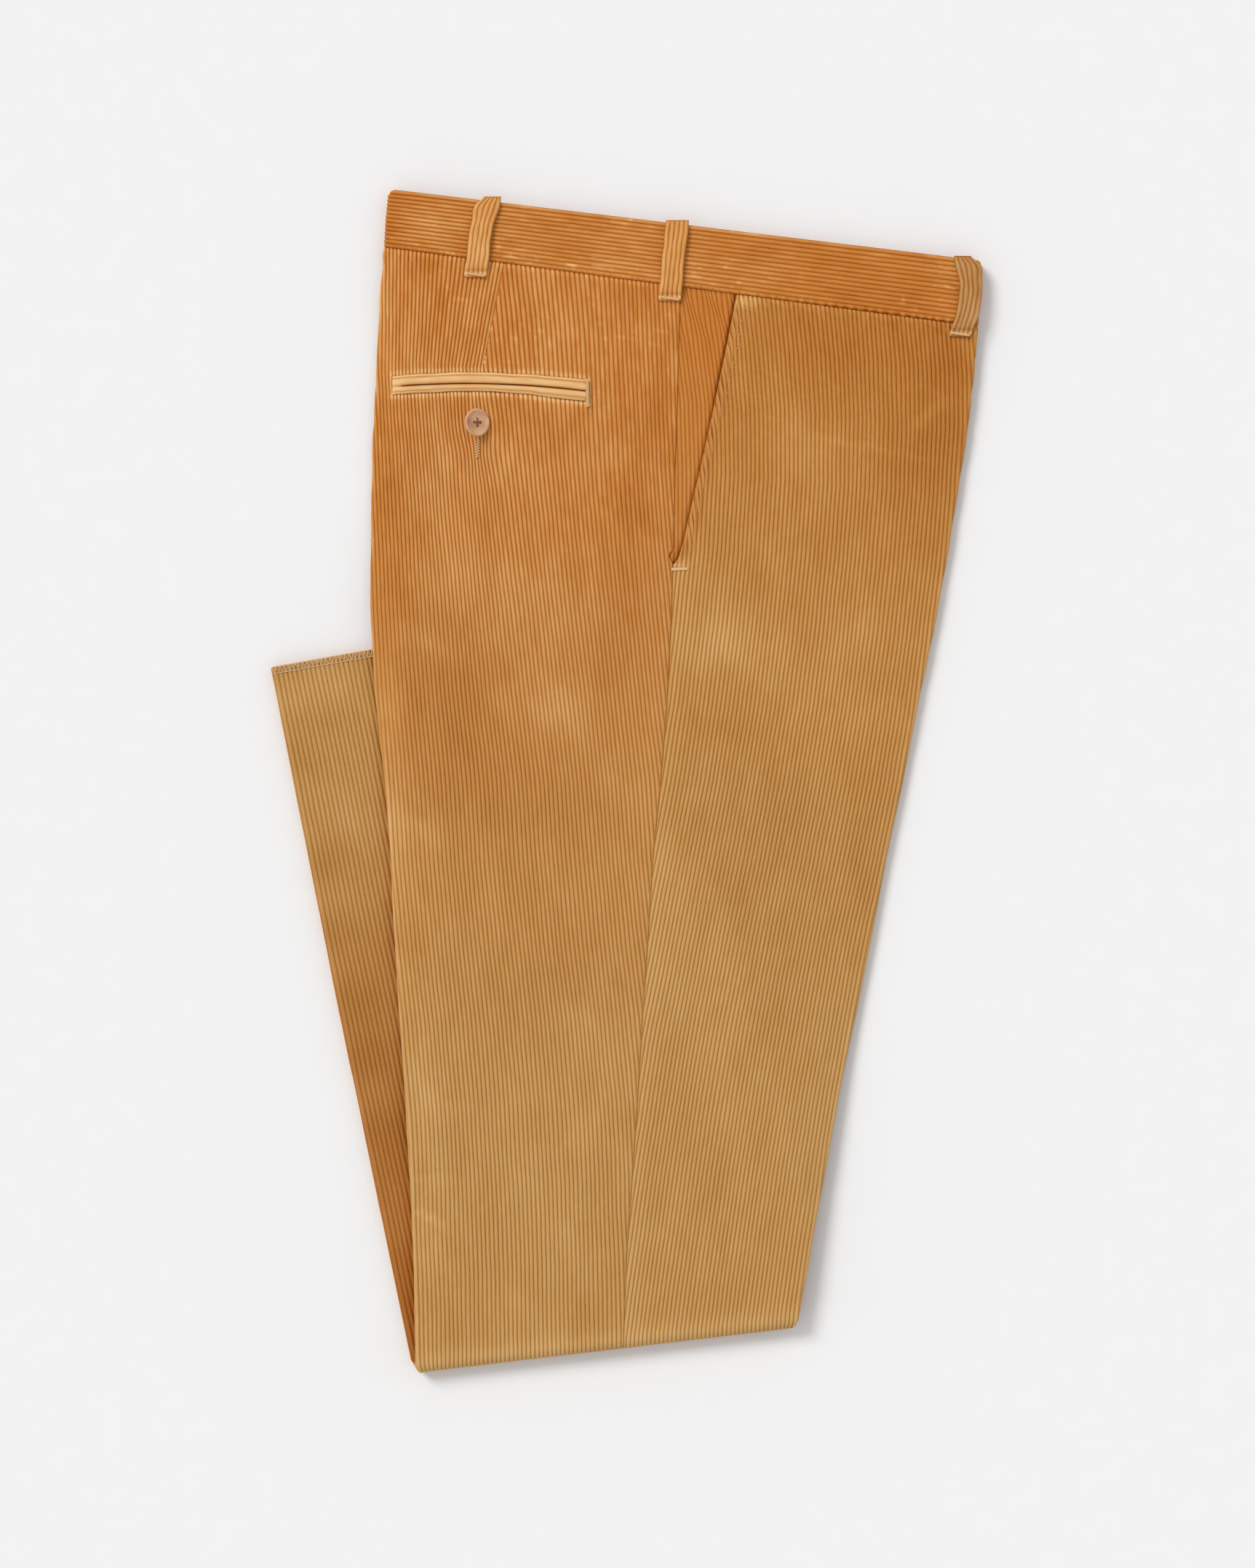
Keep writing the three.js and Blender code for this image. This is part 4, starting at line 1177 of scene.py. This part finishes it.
def stitching(material):
    """Stitches and bar tacks on the right side."""
    shape = Shape()
    jet_out = LIP_OUTSIDE + GAP + JET_CLOTH
    bar_tack(shape, at_pixel(807, 521), at_pixel(808, 559), 2.8, 0.26, jet_out, 0.6)
    bar_tack(shape, at_pixel(923, 783), at_pixel(945, 782), 2.0, 0.26, LIP_OUTSIDE)
    bar_tack(shape, at_pixel(657, 603), at_pixel(655, 630), 3.2, 0.3, LIP_OUTSIDE + 0.3, 0.4)
    for i, (x0, x1) in enumerate(((-147, -100), (-80, 24), (40, 205))):
        a = (x0, WAIST_Y + 1.6 + section("rise", 319) * x0)
        b = (x1, WAIST_Y + 1.6 + section("rise", 319) * x1)
        stitch_line(shape, a, b, 3.6, 1.5, 0.16, BAND_LIP - 0.8, seed=95 + i)
    for spot in LOOPS:
        middle = spot["x"] - spot["lean"] * (LOOP_HEIGHT / 2 - 1.6)
        ends = [(middle + k * 5.9, spot["y"] + 1.6 - k * 0.8) for k in (-1, 1)]
        bar_tack(shape, *ends, 1.7, 0.24, LIP_OUTSIDE + GAP + CLOTH + 0.2, 0.9)
    ys = np.linspace(WAIST_Y - 8, 250, 6)
    xs = along(POCKET_EDGE, "x", ys) + 6.9
    flat = [(x, y + section("rise", y) * x) for x, y in zip(xs, ys)]
    for i, (a, b) in enumerate(zip(flat, flat[1:])):
        stitch_line(shape, a, b, 2.6, 1.5, 0.2, LIP_OUTSIDE - 0.25, seed=90 + i)
    piece = shape.build("stitches", material)
    return piece


def pocket_edge(cloth):
    """Wales drawn up into lumps along the slanted edge, where it is turned and stitched."""
    shape = Shape()
    rng = np.random.default_rng(97)
    t = np.linspace(0, 1, 14)
    y = WAIST_Y - 1
    while y > POCKET_END + 20:
        drop = rng.uniform(15, 18)
        level = y - drop * t
        x = along(POCKET_EDGE, "x", level) + 0.6 + 5.1 * t + 0.4 * np.sin(3 * t)
        raised = LIP_OUTSIDE - 0.8 + 0.25 * (1 - t)
        thick = 1.3 * np.sin(np.pi * (0.14 + 0.8 * t)) ** 0.6 - 0.4 * t
        thread(shape, place(RIGHT, x, level, raised), thick)
        y -= 8.2 * rng.uniform(0.85, 1.1)
    piece = shape.build("slanted_edge_wales", cloth)
    return piece


def overcast(material):
    """The overcast raw edge at the left leg's hem, lying face up under the stack."""
    shape = Shape()
    x0, x1 = section("back", HEM_Y) + 1, section("back", HEM_Y) + 75
    steps = int((x1 - x0) / 1.2)
    x = np.linspace(x0, x1, steps)
    up = np.arange(steps) % 2
    y = np.where(up, HEM_Y + 3.9, HEM_Y - 0.2)
    out = np.where(up, LIP_OUTSIDE + 0.1, LIP_OUTSIDE - 0.2)
    path = []
    for i in range(steps - 1):
        for t in (0, 0.33, 0.66):
            px, py = x[i] + (x[i + 1] - x[i]) * t, y[i] + (y[i + 1] - y[i]) * t
            height = out[i] + 0.25 * math.sin(math.pi * t)
            path.append(place(LEFT, px, py, height))
    thread(shape, np.array(path), 0.33)
    edge = [place(LEFT, at, HEM_Y - 0.25, LIP_OUTSIDE - 0.5) for at in np.linspace(x0, x1, 60)]
    thread(shape, np.array(edge), 0.45)
    inner = [place(LEFT, at, HEM_Y + 4.0, LIP_OUTSIDE + 0.15) for at in np.linspace(x0, x1, 60)]
    thread(shape, np.array(inner), 0.3)
    piece = shape.build("hem_overcast", material)
    return piece


def button(material):
    """A four-hole button with a rim, tipped on its thread."""
    radius, thick, rim, ring, hole = BUTTON["radius"], BUTTON["thick"], 2.0, 2.3, 1.0
    profile = [(0, 0), (radius * 0.68, 0), (radius * 0.82, thick * 0.12), (radius * 0.94, thick * 0.3),
               (radius, thick * 0.55), (radius * 0.985, thick * 0.8), (radius * 0.95, thick * 0.95),
               (radius - rim * 0.5, thick), (radius - rim * 0.8, thick * 0.95),
               (radius - rim * 1.1, thick * 0.8), (radius - rim * 1.5, thick * 0.72), (0, thick * 0.7)]
    mesh = bpy.data.meshes.new("button_disc")
    bm = bmesh.new()
    rows = []
    sides = 72
    for r, z in profile:
        if r == 0:
            rows.append([bm.verts.new((0, 0, z * MM))] * sides)
        else:
            rows.append([bm.verts.new((r * MM * math.cos(a), r * MM * math.sin(a), z * MM))
                         for a in np.arange(sides) / sides * 2 * math.pi])
    for a, b in zip(rows, rows[1:]):
        for i in range(sides):
            j = (i + 1) % sides
            corners = list(dict.fromkeys([a[i], a[j], b[j], b[i]]))
            bm.faces.new(corners)
    bmesh.ops.recalc_face_normals(bm, faces=bm.faces)
    bm.to_mesh(mesh)
    bm.free()
    disc = bpy.data.objects.new("button_four_hole", mesh)
    bpy.context.scene.collection.objects.link(disc)
    cutters = []
    for i in range(4):
        angle = i * math.pi / 2
        bpy.ops.mesh.primitive_cylinder_add(
            vertices=24, radius=hole * MM, depth=4 * thick * MM,
            location=(ring * MM * math.cos(angle), ring * MM * math.sin(angle), 0))
        cutter = bpy.context.object
        cutters.append(cutter)
        cut = disc.modifiers.new("hole", "BOOLEAN")
        cut.operation, cut.object, cut.solver = "DIFFERENCE", cutter, "EXACT"
    view_layer = bpy.context.view_layer
    view_layer.update()
    cut_mesh = bpy.data.meshes.new_from_object(disc.evaluated_get(bpy.context.evaluated_depsgraph_get()))
    disc.modifiers.clear()
    for cutter in cutters:
        bpy.data.objects.remove(cutter)
    disc.data = cut_mesh
    tilt = math.radians(32)
    reach = radius * math.sin(tilt) - thick * 0.45 * math.cos(tilt)
    seat = on_leg(BUTTON["x"], BUTTON["y"], LIP_OUTSIDE)
    cos, sin = math.cos(tilt), math.sin(tilt)
    for v in cut_mesh.vertices:
        x, y, z = v.co
        v.co = (x * cos + z * sin + seat[0] * MM, y + seat[1] * MM,
                -x * sin + z * cos + (seat[2] + reach + GAP) * MM)
    cut_mesh.shade_smooth()
    cut_mesh.set_sharp_from_angle(angle=math.radians(45))
    cut_mesh.materials.clear()
    cut_mesh.materials.append(material)
    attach(disc, "root")
    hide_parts("button")
    return disc, seat, reach, tilt


def button_thread(material, seat, reach, tilt):
    """The shank that holds the button, and the crossing threads in its holes."""
    shape = Shape()
    cos, sin = math.cos(tilt), math.sin(tilt)
    centre = seat + np.array((0, 0, reach + GAP))

    def on_button(x, y, z):
        return centre + np.array((x * cos + z * sin, y, -x * sin + z * cos))

    thick, ring = BUTTON["thick"], 2.3
    for a in (0, math.pi / 2):
        for off in (-0.25, 0.25):
            dx, dy = math.cos(a), math.sin(a)
            ts = np.linspace(-1, 1, 12)
            path = [on_button(ring * t * dx - off * dy, ring * t * dy + off * dx,
                              thick * 0.72 + 0.35 - 1.6 * max(abs(t) - 0.75, 0) * 4)
                    for t in ts]
            thread(shape, path, 0.24)
    for i in range(6):
        angle = i * math.pi / 3
        dx, dy = 0.5 * math.cos(angle), 0.5 * math.sin(angle)
        top, bottom = on_button(dx * 2, dy * 2, -0.1), seat + np.array((dx, dy, -0.8))
        path = [top + (bottom - top) * t for t in np.linspace(0, 1, 5)]
        thread(shape, path, 0.28)
    piece = shape.build("button_thread", material)
    return piece


# Floor, light and camera

def stage():
    bpy.ops.mesh.primitive_plane_add(size=30, location=(0, 0, -0.0002))
    floor = bpy.context.object
    floor.name = "floor"
    floor.data.materials.append(floor_material())


def light(name, kind, strength, direction, size=None):
    data = bpy.data.lights.new(name, kind)
    data.energy = strength
    if kind == "SUN":
        data.angle = math.radians(size)
    lamp = bpy.data.objects.new(name, data)
    lamp.rotation_mode = "QUATERNION"
    lamp.rotation_quaternion = Vector(direction).to_track_quat("Z", "Y")
    bpy.context.scene.collection.objects.link(lamp)


def lights():
    world = bpy.data.worlds.new("soft_room")
    world.use_nodes = True
    background = world.node_tree.nodes["Background"]
    background.inputs["Color"].default_value = (1, 1, 1, 1)
    background.inputs["Strength"].default_value = 0.62
    bpy.context.scene.world = world
    light("window", "SUN", 1.62, (-0.78, 0.72, 1.0), 24)
    bpy.context.scene.view_settings.view_transform = "Standard"


def camera():
    """Straight down over the middle of the photograph's frame, through a long lens."""
    data = bpy.data.cameras.new("camera")
    data.lens = 100
    data.sensor_width = 36
    long_side = IMAGE[1] * PIXEL * MM
    mid_x, mid_y = at_pixel(IMAGE[0] / 2, IMAGE[1] / 2)
    height = data.lens / data.sensor_width * long_side + 0.012
    lens = bpy.data.objects.new("camera", data)
    lens.location = (mid_x * MM, mid_y * MM, height)
    bpy.context.scene.collection.objects.link(lens)
    bpy.context.scene.camera = lens


camera()
stage()
lights()
WARM = ((180, 94, 22), (206, 132, 60), (240, 188, 122))
TAN = ((166, 112, 50), (200, 152, 88), (228, 188, 130))
TRIM = ((196, 116, 46), (222, 160, 90), (248, 206, 146))
CREAM = ((200, 128, 62), (230, 176, 112), (250, 216, 166))
BROWN = ((170, 108, 50), (196, 142, 84), (230, 192, 134))
EDGE = ((168, 94, 34), (204, 140, 72), (242, 192, 124))
FRONT = ((174, 96, 30), (200, 137, 66), (236, 190, 122))
cloth = corduroy("corduroy", WARM, TAN)
front_cloth = corduroy("corduroy_front", FRONT, TAN, fade=(0.27, -0.14))
trim = corduroy("corduroy_trim", TRIM, TRIM)
front_trim = corduroy("corduroy_front_trim", BROWN, BROWN)
jets = corduroy("corduroy_jet", CREAM, CREAM)
lumps = corduroy("corduroy_edge", EDGE, EDGE)
# Darker towards the bottom, partly painted shade from the stack above and partly the reversed nap of the
# folded leg.
sliver = corduroy("corduroy_lower", TAN, ((156, 86, 26), (176, 112, 50), (198, 138, 76)),
                  fade=(0.06, -0.3))
backing = cloth_back_material()
pale_thread = thread_material("thread_pale", (244, 206, 150), (210, 160, 100))
hem_thread = thread_material("thread_hem", (240, 206, 156), (188, 142, 96))
dark_thread = thread_material("thread_brown", (150, 96, 66), (112, 68, 44))
inner_layers(backing)
panels(cloth, front_cloth, sliver)
facing(cloth)
waistband("right_waistband_cloth", RIGHT, "right_waistband", cloth, 290)
waistband("left_waistband_cloth", BAND_LEFT, "left_waistband", cloth)
for loop in LOOPS:
    belt_loop(front_trim if loop["chamfer"] < 0 else trim, **loop)
jet(jets, "pocket_jet_upper", GAP / 2, UPPER_JET)
jet(jets, "pocket_jet_lower", -GAP / 2, -LOWER_JET)
_, button_seat, button_reach, button_tilt = button(button_material())
button_thread(dark_thread, button_seat, button_reach, button_tilt)
stitching(pale_thread)
pocket_edge(lumps)
overcast(hem_thread)
